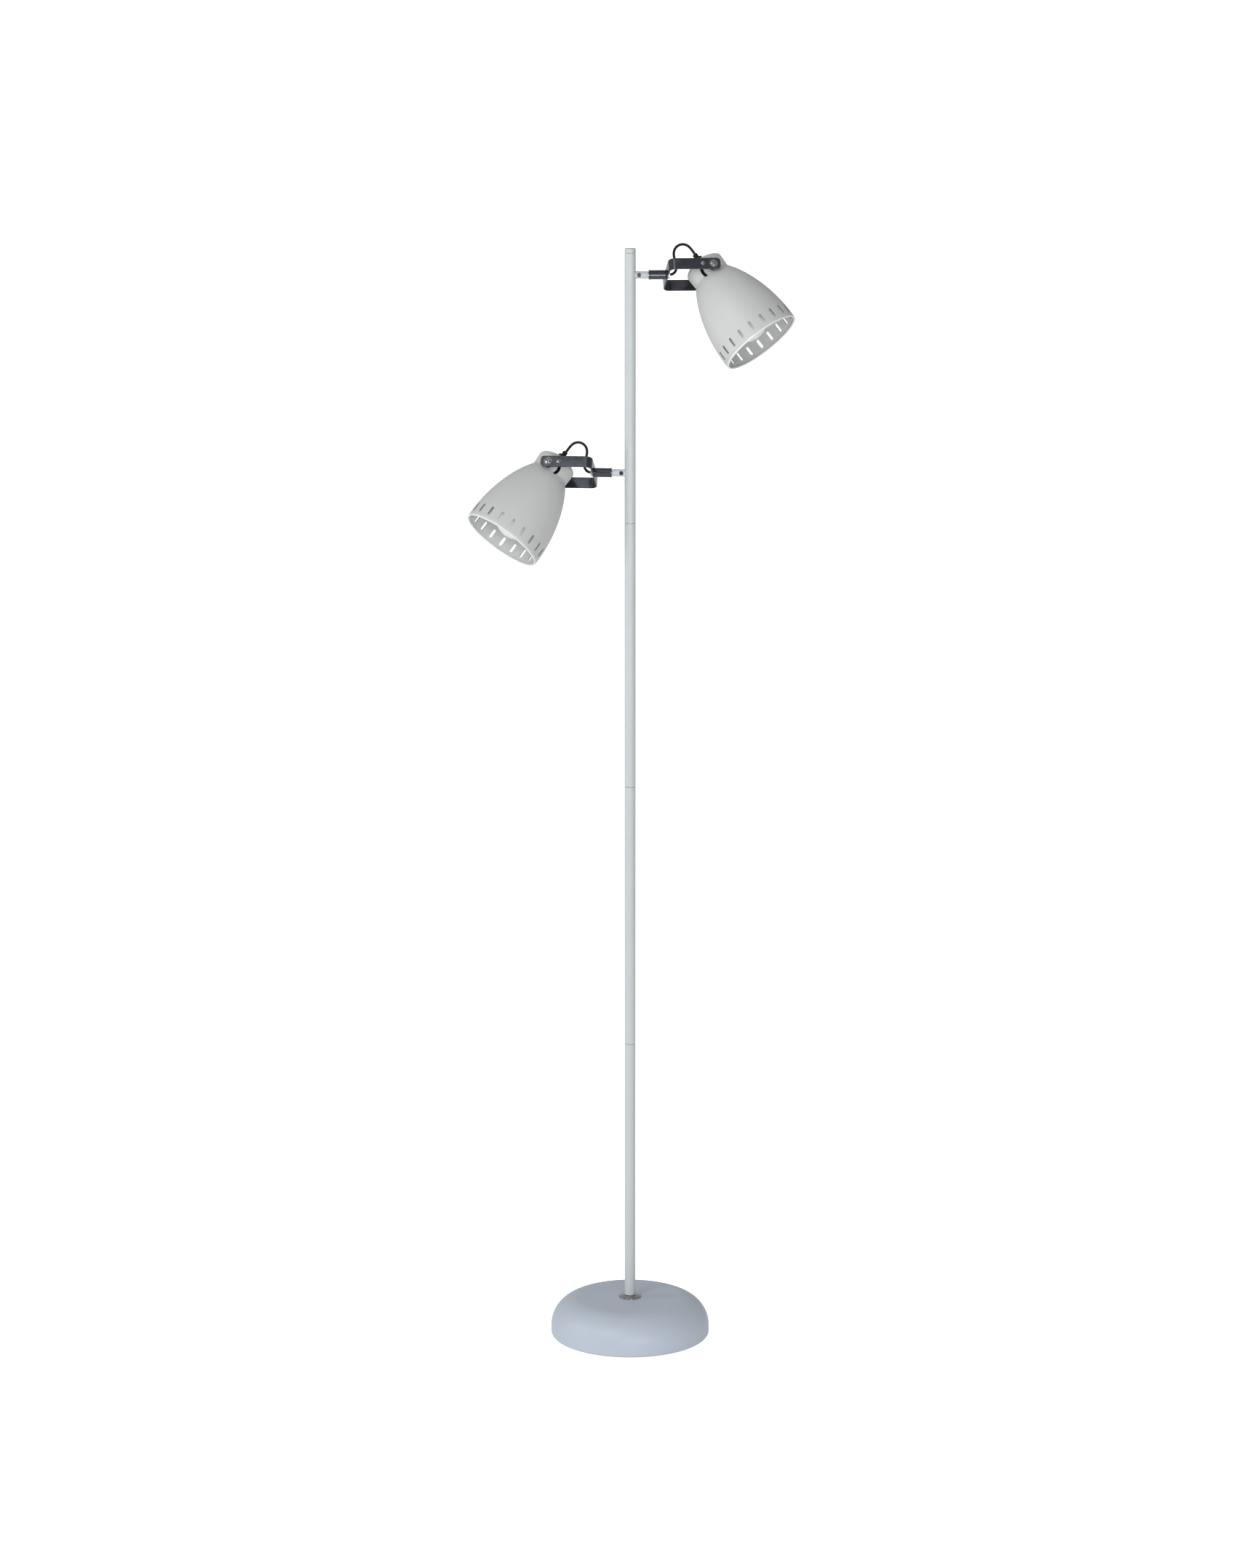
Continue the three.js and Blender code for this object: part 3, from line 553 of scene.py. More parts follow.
def cast(name, colour):
    """Painted sand casting: lumpy and rough."""
    material, tree, shader = new_material(name, 0.8, metallic=0.2)
    tint(tree, pattern(tree, 80, 5), scaled(colour, 0.6), scaled(colour, 1.3), shader.inputs["Base Color"])
    spread(tree, pattern(tree, 300, 4), 0.65, 0.9, shader.inputs["Roughness"])
    emboss(tree, shader, pattern(tree, 450, 5), 0.0004, 0.8)
    return material


def opal_glass(name):
    """Frosted white bulb glass."""
    material, tree, shader = new_material(name, 0.3, IOR=1.5)
    tint(tree, pattern(tree, 25), (0.72, 0.73, 0.72), (0.8, 0.8, 0.79), shader.inputs["Base Color"])
    spread(tree, pattern(tree, 150, 2), 0.22, 0.36, shader.inputs["Roughness"])
    emboss(tree, shader, pattern(tree, 1500, 2), 0.00001, 0.4)
    return material


materials = {
    "pole_white": enamel("pole_white", (0.495, 0.525, 0.535), 0.35),
    "foot_white": enamel("foot_white", (0.44, 0.495, 0.57), 0.42),
    "shade_white": enamel("shade_white", (0.5, 0.517, 0.512), 0.5),
    "black_chrome": plated("black_chrome", (0.08, 0.084, 0.1), 0.14),
    "chrome": plated("chrome", (0.34, 0.335, 0.33), 0.08),
    "black_steel": plated("black_steel", (0.045, 0.045, 0.05), 0.38),
    "zinc": plated("zinc", (0.5, 0.51, 0.52), 0.3),
    "nickel": plated("nickel", (0.6, 0.57, 0.5), 0.25),
    "black_plastic": moulded("black_plastic", (0.008, 0.008, 0.009), 0.45, 1500, 0.00003, 0.3),
    "lead_sheath": moulded("lead_sheath", (0.004, 0.004, 0.005), 0.45, 2500, 0.00002, 0.25),
    "porcelain": moulded("porcelain", (0.75, 0.73, 0.68), 0.2, 400, 0.00001),
    "foam": moulded("foam", (0.02, 0.02, 0.021), 0.9, 1200, 0.0003),
    "iron": cast("iron", (0.05, 0.05, 0.052)),
    "glass": opal_glass("glass"),
}
# The inside: a duller copy of the enamel, painted lighter to stand in for light inside the bell.
shade_inside = enamel("shade_inside", (0.56, 0.575, 0.57), 0.55)
# The rolled rim's bead: a lighter, glossier copy of the enamel, a painted highlight.
shade_rim = enamel("shade_rim", (0.7, 0.72, 0.72), 0.3)
# The slot walls: near black, a painted shade that darkens the slots.
cut_edge = enamel("cut_edge", (0.11, 0.115, 0.115), 0.5)

# ------------------------------------ foot and pole


def extent(node):
    """Radius, bottom and top, in millimetres, of a CAD node that is round about the pole's axis."""
    low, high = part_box(node)
    return high.x / MM, low.z / MM, high.z / MM


def build_foot():
    radius, bottom, top = extent("foot_cover")
    centre = (radius - FOOT_SHOULDER, top - FOOT_SHOULDER)
    outer = arc_points(centre, FOOT_SHOULDER, pi / 2, 0, 32)
    inner = arc_points(centre, FOOT_SHOULDER - COVER_WALL, 0, pi / 2, 32)
    inside = radius - COVER_WALL
    tuck = radius - COVER_TUCK - COVER_LIP
    edge = filleted([
        (radius, centre[1], 0), (radius, bottom, COVER_TUCK), (tuck, bottom, COVER_LIP),
        (tuck, bottom + COVER_WALL, COVER_LIP), (inside, bottom + COVER_WALL, COVER_TUCK - COVER_WALL),
        (inside, centre[1], 0),
    ], steps=8, closed=False)
    profile = [(COVER_HOLE, top), *outer, *edge[1:-1], *inner, (COVER_HOLE, top - COVER_WALL)]
    low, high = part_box("lead_inlet_bush")
    bush_height = (low.z + high.z) / 2 / MM
    hole = moved(rod(BUSH_FLANGE - 1, radius - BUSH_FLANGE, radius + BUSH_FLANGE),
                 Matrix.Translation((0, 0, bush_height)) @ facing(1))
    shell = cut(turned(profile, BROAD_FACETS), hole)
    add_piece("foot_shell", shell, millimetres(), "stand", "foot_cover")

    pad_radius, pad_bottom, pad_top = extent("foot_pad")
    pad = turned(filleted([
        (0, pad_bottom, 0), (pad_radius, pad_bottom, PAD_EDGE),
        (pad_radius, pad_top, PAD_EDGE), (0, pad_top, 0),
    ]), BROAD_FACETS, closed=False)
    foam = add_piece("foam_pad", pad, millimetres(), "stand", "foot_pad")

    tail, face = low.y / MM, high.y / MM
    wall = radius - COVER_WALL
    step = BUSH_FLANGE - BUSH_STEP
    bush = turned(filleted([
        (BUSH_BORE, tail, SOFT_EDGE), (BUSH_FLANGE, tail, SOFT_EDGE), (BUSH_FLANGE, wall - 1, 0.4),
        (step, wall - 1, 0), (step, face, 0.4), (BUSH_BORE, face, 1),
    ]), SMALL_FACETS)
    place = Matrix.Translation((0, 0, bush_height)) @ facing(1)
    add_piece("inlet_bush", moved(bush, place), millimetres(), "stand", "lead_inlet_bush")


def build_pole():
    radius, bottom, top = extent("pole_collar")
    collar = filleted([
        (COVER_HOLE, bottom, 0), (radius, bottom, FINE_EDGE), (radius, bottom + COLLAR_RIM, SOFT_EDGE),
        (COLLAR_SHOULDER, top, COLLAR_EDGE), (COVER_HOLE, top, FINE_EDGE),
    ])
    add_piece("collar_ring", turned(collar), millimetres(), "stand", "pole_collar")

    sections = sorted(node for node in frame["nodes"] if node.startswith("pole_section"))
    for node in sections:
        radius, bottom, top = extent(node)
        plain = tube(radius, POLE_BORE, bottom, top, SOFT_EDGE)
        arms = [head for head in heads if bottom < head.height < top]
        holes = [moved(rod(STUB_BORE, 0, 2 * radius), head.arm @ along_x()) for head in arms]
        tube_shape = cut(plain, *holes) if holes else plain
        add_piece(node.replace("section", "tube"), tube_shape, millimetres(), "stand", node)

    radius, bottom, top = extent("pole_cap")
    rim = extent(sections[-1])[2] + CAP_LIP
    cap = filleted([
        (0, bottom, 0), (CAP_PLUG_RADIUS, bottom, SOFT_EDGE), (CAP_PLUG_RADIUS, rim, 0),
        (radius, rim, SOFT_EDGE), (radius, top - CAP_CROWN, CAP_EDGE), (0, top, 0),
    ], closed=False)
    add_piece("cap_button", turned(cap, closed=False), millimetres(), "stand", "pole_cap")


# ------------------------------------ arm and yoke


def stub_shape(pole_radius, side):
    """A tube that fits the pole's round side, with a pocket for its grub screw."""
    seat = pole_radius + SEAT_GAP

    def ring(radius, place=None):
        angles = [tau * i / FACETS for i in range(FACETS)]
        sides = [(radius * cos(a), radius * sin(a)) for a in angles]
        return [(sqrt(seat ** 2 - y ** 2) if place is None else place, y, z) for y, z in sides]

    edge = filleted([
        (0, STUB_RADIUS, 0), (STUB_END, STUB_RADIUS, SOFT_EDGE), (STUB_END, STUB_BORE, FINE_EDGE),
        (0, STUB_BORE, 0),
    ], closed=False)
    loops = [ring(STUB_RADIUS), *[ring(radius, place) for place, radius in edge[1:-1]], ring(STUB_BORE)]
    loops.append(loops[0])
    points, faces = swept(loops)
    wall = (points, faces[:-2])
    place = Matrix.Translation((SCREW_PLACE, 0, 0)) @ facing(-side)
    return cut(wall, moved(rod(SCREW_POCKET, 0, 2 * STUB_RADIUS), place))


def grub_screw_shape(side):
    """A grub screw with a hexagon socket, standing on the spigot."""
    top = STUB_RADIUS - GRUB_SINK
    base = SPIGOT_RADIUS + 2 * SEAT_GAP
    floor = SPIGOT_RADIUS + GRUB_SOCKET_FLOOR
    profile = filleted([
        (0, base, 0), (GRUB_RADIUS, base, 0), (GRUB_RADIUS, top, EDGE),
        (GRUB_SOCKET + GRUB_SOCKET_LIP, top, 0),
    ], closed=False)
    recess = [(GRUB_SOCKET, top, hexagon), (GRUB_SOCKET, floor, hexagon), (0, floor - 2 * SEAT_GAP)]
    place = Matrix.Translation((SCREW_PLACE, 0, 0)) @ facing(-side)
    return moved(turned([*profile, *recess], SMALL_FACETS, closed=False), place)


def hex_nut_shape(radius, bore, start, end):
    """A nut with turned chamfers at both faces."""
    corner = radius - NUT_CORNER
    mouth = bore + EDGE
    return turned([
        (bore, start + EDGE), (mouth, start), (corner, start), (radius, start + NUT_CHAMFER, hexagon),
        (radius, end - NUT_CHAMFER, hexagon), (corner, end), (mouth, end), (bore, end - EDGE),
    ], SMALL_FACETS)


def strap_section(half_width, half_thickness):
    """The strap's cross-section: (across, outwards) points."""
    return filleted([
        (-half_width, -half_thickness, STRAP_EDGE), (half_width, -half_thickness, STRAP_EDGE),
        (half_width, half_thickness, STRAP_EDGE), (-half_width, half_thickness, STRAP_EDGE),
    ], 3)


def strap_shape(reach, side):
    """A flat strap bent into a U, with rounded ends and bores for the spigot, pivot and stop screw."""
    end = reach + STRAP_OVERHANG
    half, thick = STRAP_WIDTH / 2, STRAP_THICKNESS / 2
    bend = (YOKE_BASE + thick + STRAP_BEND, STRAP_HALF_GAP - STRAP_BEND)
    round_over = STRAP_EDGE / 2
    leg = [(end, half - STRAP_CORNER - round_over, thick - round_over)]
    for step in range(END_STEPS + 1):
        turn = step / END_STEPS * pi / 2
        x = end - round_over - STRAP_CORNER * (1 - cos(turn))
        leg.append((x, half - STRAP_CORNER * (1 - sin(turn)), thick))
    stations = [(x, STRAP_HALF_GAP, pi / 2, width, depth) for x, width, depth in leg]
    for step in range(BEND_STEPS + 1):
        turn = pi / 2 + step / BEND_STEPS * pi / 2
        place = (bend[0] + STRAP_BEND * cos(turn), bend[1] + STRAP_BEND * sin(turn))
        stations.append((*place, turn, half, thick))
    mirrored = [(x, -y, tau - turn, width, depth) for x, y, turn, width, depth in reversed(stations)]
    loops = []
    for x, y, turn, width, depth in stations + mirrored:
        section = strap_section(width, depth)
        loops.append([(x + cos(turn) * out, y + sin(turn) * out, across) for across, out in section])
    spigot_bore = moved(rod(SPIGOT_RADIUS + BORE_CLEARANCE, 0, reach / 2), along_x())
    pivot_bore = moved(rod(PIVOT_SHANK + BORE_CLEARANCE, -2 * STRAP_HALF_GAP, 2 * STRAP_HALF_GAP),
                       Matrix.Translation((reach, 0, 0)) @ facing(1))
    stop_bore = moved(rod(STOP_SHANK + BORE_CLEARANCE, 0, 2 * STRAP_HALF_GAP),
                      Matrix.Translation((reach - STOP_OFFSET, 0, 0)) @ facing(side))
    return cut(swept(loops), spigot_bore, pivot_bore, stop_bore)


def screw_shape(head_radius, head_height, shank_radius, washer_radius, teeth):
    """A pan-head screw with a cross recess, on a toothed lock washer, pointing at the origin."""
    seat = STRAP_OUTSIDE + SEAT_GAP
    under, over = [toothed(teeth, lift) for lift in TOOTH_LIFTS]
    bore = shank_radius + WASHER_GAP
    core = washer_radius * WASHER_CORE
    top = seat + WASHER_THICKNESS
    washer = turned([
        (bore, seat), (core, seat), (washer_radius, seat, under), (washer_radius, top, over), (core, top),
        (bore, top),
    ], teeth * 8)
    base = top + SEAT_GAP
    crown = base + head_height
    recess = head_radius * RECESS_SHARE
    lip, lip_depth = RECESS_LIP
    floor = crown - head_height * RECESS_DEPTH
    head = filleted([
        (0, SHANK_END, 0), (shank_radius, SHANK_END, SHANK_EDGE), (shank_radius, base, 0),
        (head_radius, base, FINE_EDGE),
        (head_radius, base + head_height * HEAD_SHOULDER, head_height * HEAD_ROUND), (recess, crown, 0),
    ], closed=False)
    recess_rings = [
        (recess * 1.04, crown - 0.02), (recess, crown, cross), (recess * lip, crown - lip_depth, cross),
        (recess * RECESS_TAPER, floor, cross), (0, floor - head_height * RECESS_POINT),
    ]
    screw = turned([*head[:-1], *recess_rings], FACETS, closed=False)
    return joined(screw, washer)


def loop_places():
    """The lead's line as (x, y, z) places in the yoke's frame: a smooth curve through its route."""
    knots = [Vector((along, 0, down)) for along, down in LOOP_ROUTE]
    knots = [2 * knots[0] - knots[1], *knots, 2 * knots[-1] - knots[-2]]
    places = []
    for a, b, c, d in zip(knots, knots[1:], knots[2:], knots[3:]):
        for step in range(LOOP_STEPS):
            t = step / LOOP_STEPS
            places.append(0.5 * (2 * b + (c - a) * t + (2 * a - 5 * b + 4 * c - d) * t ** 2
                                 + (3 * b - a - 3 * c + d) * t ** 3))
    return [*places, knots[-2]]


def build_lead_loop(head):
    """The black lead from the arm's nut to the shade's strain relief, in the yoke's middle plane."""
    places = loop_places()
    sideways = Vector((0, 1, 0))
    angles = [tau * k / LEAD_FACETS for k in range(LEAD_FACETS)]
    loops = []
    for i, place in enumerate(places):
        ahead = (places[min(i + 1, len(places) - 1)] - places[max(i - 1, 0)]).normalized()
        across = ahead.cross(sideways)
        loops.append([tuple(place + LEAD_RADIUS * (cos(a) * across + sin(a) * sideways)) for a in angles])
    name = head.name
    lead = add_piece(f"{name}_lead", swept(loops), head.yoke, None, f"{name}_lead_loop")
    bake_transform(lead)


def build_arm(head):
    name, side = head.name, head.side
    pole_radius = extent("pole_section_1")[0]
    add_piece(f"{name}_stub", stub_shape(pole_radius, side), head.arm_mm, "stand", f"{name}_arm_stub")
    add_piece(f"{name}_grub_screw", grub_screw_shape(side), head.arm_mm, "stand", f"{name}_stub_screw")
    spigot = moved(tube(SPIGOT_RADIUS, SPIGOT_BORE, SPIGOT_START, SPIGOT_END, EDGE, SMALL_FACETS), along_x())
    add_piece(f"{name}_hollow_spigot", spigot, head.arm_mm, "stand", f"{name}_spigot")
    start = YOKE_BASE + STRAP_THICKNESS + SEAT_GAP
    nut = hex_nut_shape(YOKE_NUT_RADIUS, SPIGOT_RADIUS + SEAT_GAP, start, start + YOKE_NUT_HEIGHT)
    add_piece(f"{name}_spigot_nut", moved(nut, along_x()), head.arm_mm, "stand", f"{name}_yoke_nut")


def build_yoke(head):
    name, side, body = head.name, head.side, head.yoke_body
    bore = SPIGOT_RADIUS + BORE_CLEARANCE
    neck = SLEEVE_RADIUS - SLEEVE_STEP
    ring = SLEEVE_START + SLEEVE_RING
    sleeve = turned(filleted([
        (bore, SLEEVE_START, EDGE), (SLEEVE_RADIUS, SLEEVE_START, 0.35), (SLEEVE_RADIUS, ring, EDGE),
        (neck, ring, FINE_EDGE), (neck, SLEEVE_END, EDGE), (bore, SLEEVE_END, 0),
    ]))
    add_piece(f"{name}_swivel_sleeve", moved(sleeve, along_x()), head.yoke, body, f"{name}_sleeve")
    add_piece(f"{name}_u_strap", strap_shape(head.reach, side), head.yoke, body, f"{name}_yoke")
    screw = screw_shape(
        PIVOT_HEAD_RADIUS, PIVOT_HEAD_HEIGHT, PIVOT_SHANK, PIVOT_WASHER_RADIUS, PIVOT_WASHER_TEETH)
    nut_base = PIVOT_NUT_FACE - PIVOT_NUT_HEIGHT
    nut = hex_nut_shape(PIVOT_NUT_RADIUS, PIVOT_SHANK + SEAT_GAP, nut_base, PIVOT_NUT_FACE)
    for place, direction in (("front", side), ("rear", -side)):
        turn = Matrix.Translation((head.reach, 0, 0)) @ facing(direction)
        for label, shape, node in (("pan_screw", screw, "pivot_screw"), ("hex_nut", nut, "pivot_nut")):
            stands_for = f"{name}_{node}_{place}"
            add_piece(f"{name}_{label}_{place}", moved(shape, turn), head.yoke, body, stands_for)
    stop = screw_shape(STOP_HEAD_RADIUS, STOP_HEAD_HEIGHT, STOP_SHANK, STOP_WASHER_RADIUS, STOP_WASHER_TEETH)
    turn = Matrix.Translation((head.reach - STOP_OFFSET, 0, 0)) @ facing(side)
    add_piece(f"{name}_stop_pin", moved(stop, turn), head.yoke, body, f"{name}_stop_screw")


# ------------------------------------ shade


def bell_radius(height):
    """Radius and slope of the bell's outside at a height, by halving steps along its curve."""
    knots = [Vector((x, y, 0)) for x, y in BELL_CURVE]
    low, high = 0.0, 1.0
    for _ in range(40):
        t = (low + high) / 2
        s = 1 - t
        shares = (s ** 3, 3 * s * s * t, 3 * s * t * t, t ** 3)
        place = sum((share * knot for share, knot in zip(shares, knots)), Vector((0, 0, 0)))
        low, high = (t, high) if place.y < height else (low, t)
    rates = (s * s, 2 * s * t, t * t)
    steps = [b - a for a, b in zip(knots, knots[1:])]
    ahead = sum((rate * step for rate, step in zip(rates, steps)), Vector((0, 0, 0)))
    return place.x, ahead.x / ahead.y


def wall_radius(height, depth):
    """Radius of the bell's wall at a height, `depth` below its outside."""
    radius, slope = bell_radius(height)
    return radius - depth * sqrt(1 + slope ** 2)


def slot_outline(margin):
    """A slot's outline, grown by a margin: (across, along) places, counted as the band's edge is."""
    radius = SLOT_WIDTH / 2 + margin
    reach = (SLOT_LENGTH - SLOT_WIDTH) / 2
    top = arc_points((0, reach), radius, 0, pi, SECTOR_COLUMNS)
    left = [(-radius, reach - 2 * reach * k / SECTOR_ROWS) for k in range(1, SECTOR_ROWS)]
    bottom = arc_points((0, -reach), radius, pi, tau, SECTOR_COLUMNS)
    right = [(radius, 2 * reach * k / SECTOR_ROWS - reach) for k in range(1, SECTOR_ROWS)]
    return [*top, *left, *bottom, *right]


def sector_outline(half_width):
    top = [(half_width - 2 * half_width * k / SECTOR_COLUMNS, BAND_HALF) for k in range(SECTOR_COLUMNS + 1)]
    left = [(-half_width, BAND_HALF - 2 * BAND_HALF * k / SECTOR_ROWS) for k in range(1, SECTOR_ROWS)]
    bottom = [(-x, -y) for x, y in top]
    right = [(-x, -y) for x, y in left]
    return [*top, *left, *bottom, *right]


def slotted_band():
    """The ring of wall that holds the slots: loops round each slot, outside, through and inside."""
    around = RIM_RADIUS
    half_sector = pi / SLOT_COUNT
    edge = sector_outline(half_sector * around)
    near = slot_outline(SLOT_EDGE)
    skin = [[tuple(Vector(a).lerp(Vector(b), s)) for a, b in zip(edge, near)] for s in SECTOR_LOOPS]
    tuck = SLOT_EDGE * 0.3
    through = [(slot_outline(tuck), tuck), (slot_outline(0), SLOT_EDGE)]
    outside = [(loop, 0) for loop in skin] + through
    inside = [(loop, SHADE_WALL - depth) for loop, depth in reversed(outside)]
    layers = outside + inside
    points, faces = [], []
    count = len(edge)
    for sector in range(SLOT_COUNT):
        start = len(points)
        for loop, depth in layers:
            for across, along in loop:
                height = SLOT_PLACE + along
                radius = wall_radius(height, depth)
                angle = across / around + 2 * half_sector * sector
                points.append((radius * cos(angle), radius * sin(angle), height))
        for layer in range(len(layers) - 1):
            for i in range(count):
                j = (i + 1) % count
                low, high = start + layer * count, start + (layer + 1) * count
                faces.append((low + i, low + j, high + j, high + i))
    return points, faces


def neck_wall(inset):
    """Back and neck of the shade, moved in by `inset`, from the hole in its back to its crease."""
    shares = (0, 0.5, 1, 1)  # of the inset that each end of the curve moves in by
    back = curve_points([(x - inset * share, y + inset) for (x, y), share in zip(BACK_CURVE, shares)], 16)
    steps = 6
    narrowing = (CREASE_RADIUS - NECK_RADIUS) / steps
    climb = (CREASE - NECK_START) / steps
    neck = [(NECK_RADIUS - inset + narrowing * k, NECK_START + climb * k) for k in range(steps)]
    return [*back[:-1], *neck]


def bell_rows(start, end, steps, depth):
    heights = [start + (end - start) * k / steps for k in range(steps + 1)]
    return [(wall_radius(height, depth), height) for height in heights]


def stop_slot_shape(side, tilt):
    """The curved slot in the neck for the stop screw, which stands at 270 degrees less the tilt."""
    low, high = [radians(limit) for limit in joints["upper_tilt"]["range_deg"]]
    start = 1.5 * pi - tilt - high - STOP_SLOT_MARGIN
    end = 1.5 * pi - tilt - low + STOP_SLOT_MARGIN
    end_place = (STOP_OFFSET * cos(end), STOP_OFFSET * sin(end))
    start_place = (STOP_OFFSET * cos(start), STOP_OFFSET * sin(start))
    outer = arc_points((0, 0), STOP_OFFSET + STOP_SLOT_HALF, start, end, 24)
    inner = arc_points((0, 0), STOP_OFFSET - STOP_SLOT_HALF, end, start, 24)
    end_round = arc_points(end_place, STOP_SLOT_HALF, end, end + pi, 12)
    start_round = arc_points(start_place, STOP_SLOT_HALF, start + pi, start + tau, 12)
    outline = [*outer[:-1], *end_round[:-1], *inner[:-1], *start_round[:-1]]
    return prism(outline, side * NECK_RADIUS / 3, side * (NECK_RADIUS + SPACER_RADIUS))


def shade_shape(side, tilt):
    """The spun shell: rounded back, neck, sharp crease, bell with slots, and a rolled rim."""
    band_low, band_high = SLOT_PLACE - BAND_HALF, SLOT_PLACE + BAND_HALF
    columns = SLOT_COUNT * SECTOR_COLUMNS
    bead_start = RIM - RIM_BEAD
    bead_centre = (RIM_RADIUS - RIM_BEAD, bead_start)
    bead = arc_points(bead_centre, RIM_BEAD, *BEAD_TURN, 18)
    outer_bell = bell_rows(CREASE, band_low, BELL_STEPS, 0)
    inner_bell = bell_rows(CREASE + 0.8, band_low, BELL_STEPS, SHADE_WALL)
    lower = [*reversed(inner_bell), *reversed(neck_wall(SHADE_WALL)), *neck_wall(0), *outer_bell]
    upper = [*bell_rows(band_high, bead_start - 2.4, 4, 0), (RIM_RADIUS - 0.35, bead_start - 1),
             *bead, *bell_rows(bead_start - RIM_GROOVE, band_high, 5, SHADE_WALL)]
    turn = Matrix.Rotation(pi / SLOT_COUNT, 4, "Z")
    shell = joined(
        moved(turned(lower, columns, closed=False), turn),
        moved(turned(upper, columns, closed=False), turn),
        slotted_band(),
    )
    pivot_bore = moved(rod(PIVOT_SHANK + BORE_CLEARANCE, -2 * NECK_RADIUS, 2 * NECK_RADIUS), facing(1))
    return cut(shell, pivot_bore, stop_slot_shape(side, tilt))


def spacer_shape(direction):
    """A round spacer whose inner end fits the neck."""
    face = STRAP_HALF_GAP - STRAP_THICKNESS / 2 - SEAT_GAP
    angles = [tau * i / FACETS for i in range(FACETS)]

    def neck_at(height):
        if height > CREASE:
            return bell_radius(height)[0]
        share = max(0, height - NECK_START) / (CREASE - NECK_START)
        return NECK_RADIUS + (CREASE_RADIUS - NECK_RADIUS) * share

    def ring(radius, place=None):
        sides = [(radius * cos(a), radius * sin(a)) for a in angles]
        return [(x, direction * (sqrt(neck_at(z) ** 2 - x ** 2) + SEAT_GAP if place is None else place), z)
                for x, z in sides]

    bore = PIVOT_SHANK + BORE_CLEARANCE
    waist = SPACER_RADIUS - SPACER_STEP
    edge = SPACER_RADIUS - SPACER_EDGE
    loops = [
        ring(waist), ring(waist, face - SPACER_HEAD - SPACER_STEP), ring(SPACER_RADIUS, face - SPACER_HEAD),
        ring(SPACER_RADIUS, face - SPACER_EDGE), ring(edge, face), ring(bore, face), ring(bore),
    ]
    points, faces = swept([*loops, loops[0]])
    return points, faces[:-2]


def relief_shape():
    """A moulded strain relief: a flange, a waist and a ribbed collar round the lead."""
    start = CAP_BACK - SEAT_GAP
    bore = LEAD_RADIUS + 2 * SEAT_GAP
    shoulder = start - RELIEF_HEIGHT
    floor = start - RELIEF_FLOOR
    waist = RELIEF_COLLAR - RIB_DEPTH
    ribs = []
    for rib in range(RIB_COUNT):
        top = shoulder - 1.2 - rib * RIB_PITCH
        crest = top - RIB_GAP - RIB_FLANK
        ribs += [(waist, top, RIB_EDGE), (waist, top - RIB_GAP, RIB_EDGE)]
        ribs += [(RELIEF_COLLAR, crest, RIB_FLANK), (RELIEF_COLLAR, crest - RIB_CREST, RIB_FLANK)]
    return turned(filleted([
        (STEM_HOLE, start, 0), (RELIEF_FLANGE, start, EDGE), (RELIEF_FLANGE, shoulder + 0.6, 0.7),
        (RELIEF_COLLAR + 0.5, shoulder, SOFT_EDGE), *ribs, (RELIEF_COLLAR - 0.2, RELIEF_TIP, SOFT_EDGE),
        (bore, RELIEF_TIP, 0), (bore, floor, 0), (STEM_HOLE, floor, 0),
    ], 3))


def holder_shape():
    """A black plastic lampholder with a stepped back and a rounded front."""
    lip = HOLDER_RADIUS - HOLDER_LIP_STEP
    step = HOLDER_FRONT - HOLDER_LIP
    return turned(filleted([
        (STEM_HOLE, HOLDER_BACK, 0),
        *[(radius, HOLDER_BACK + height, fillet) for radius, height, fillet in HOLDER_STEPS],
        (HOLDER_RADIUS, step, 0.4), (lip, step + 0.6, 0.4), (lip, HOLDER_FRONT, 1.4),
        (HOLDER_BORE, HOLDER_FRONT, 1), (HOLDER_BORE, HOLDER_FLOOR, SOFT_EDGE), (STEM_HOLE, HOLDER_FLOOR, 0),
    ]))


def bulb_cap_shape():
    """A screw cap with a rolled thread, its centre contact and a thin inside."""
    depth = THREAD_DEPTH / THREAD_RADIUS

    def thread(height):
        return lambda angle: (1 + depth * sin(tau * height / THREAD_PITCH - angle), 0)

    start, end = BULB_CAP_START + 8, BULB_CAP_END - 3
    steps = ceil((end - start) / THREAD_PITCH * 10)
    heights = [start + (end - start) * k / steps for k in range(steps + 1)]
    skirt = THREAD_RADIUS + 0.1
    inside = THREAD_RADIUS - BULB_CAP_WALL
    return turned([
        *[(radius, BULB_CAP_START + height) for radius, height in CONTACT],
        (THREAD_RADIUS - 2.6, BULB_CAP_START + 4.2), (THREAD_RADIUS - 0.6, BULB_CAP_START + 7),
        *[(THREAD_RADIUS, height, thread(height)) for height in heights],
        (skirt, BULB_CAP_END - 1.5), (skirt, BULB_CAP_END),
        (inside, BULB_CAP_END), (inside - 0.6, BULB_CAP_START + 8.6), (0, BULB_CAP_START + 6),
    ], closed=False)


def bulb_shape():
    """A pear-shaped bulb: a neck that widens into a ball, with a thin wall."""
    def outline(inset):
        ball = arc_points((0, BULB_CENTRE), BULB_RADIUS - inset, BULB_JOIN, pi / 2, 36)
        join = Vector(ball[0])
        ahead = BULB_NECK_LEAN * Vector((-sin(BULB_JOIN), cos(BULB_JOIN)))
        neck = BULB_NECK - inset
        sides = curve_points([(neck, BULB_CAP_END + 0.3), (neck, BULB_CAP_END + 8), join - ahead, join], 16)
        tip = (0, BULB_CENTRE + BULB_RADIUS - inset)
        return [(neck, BULB_NECK_BASE), *sides[:-1], *ball[:-1], tip]

    return turned([*reversed(outline(GLASS_WALL)), *outline(0)], closed=False)


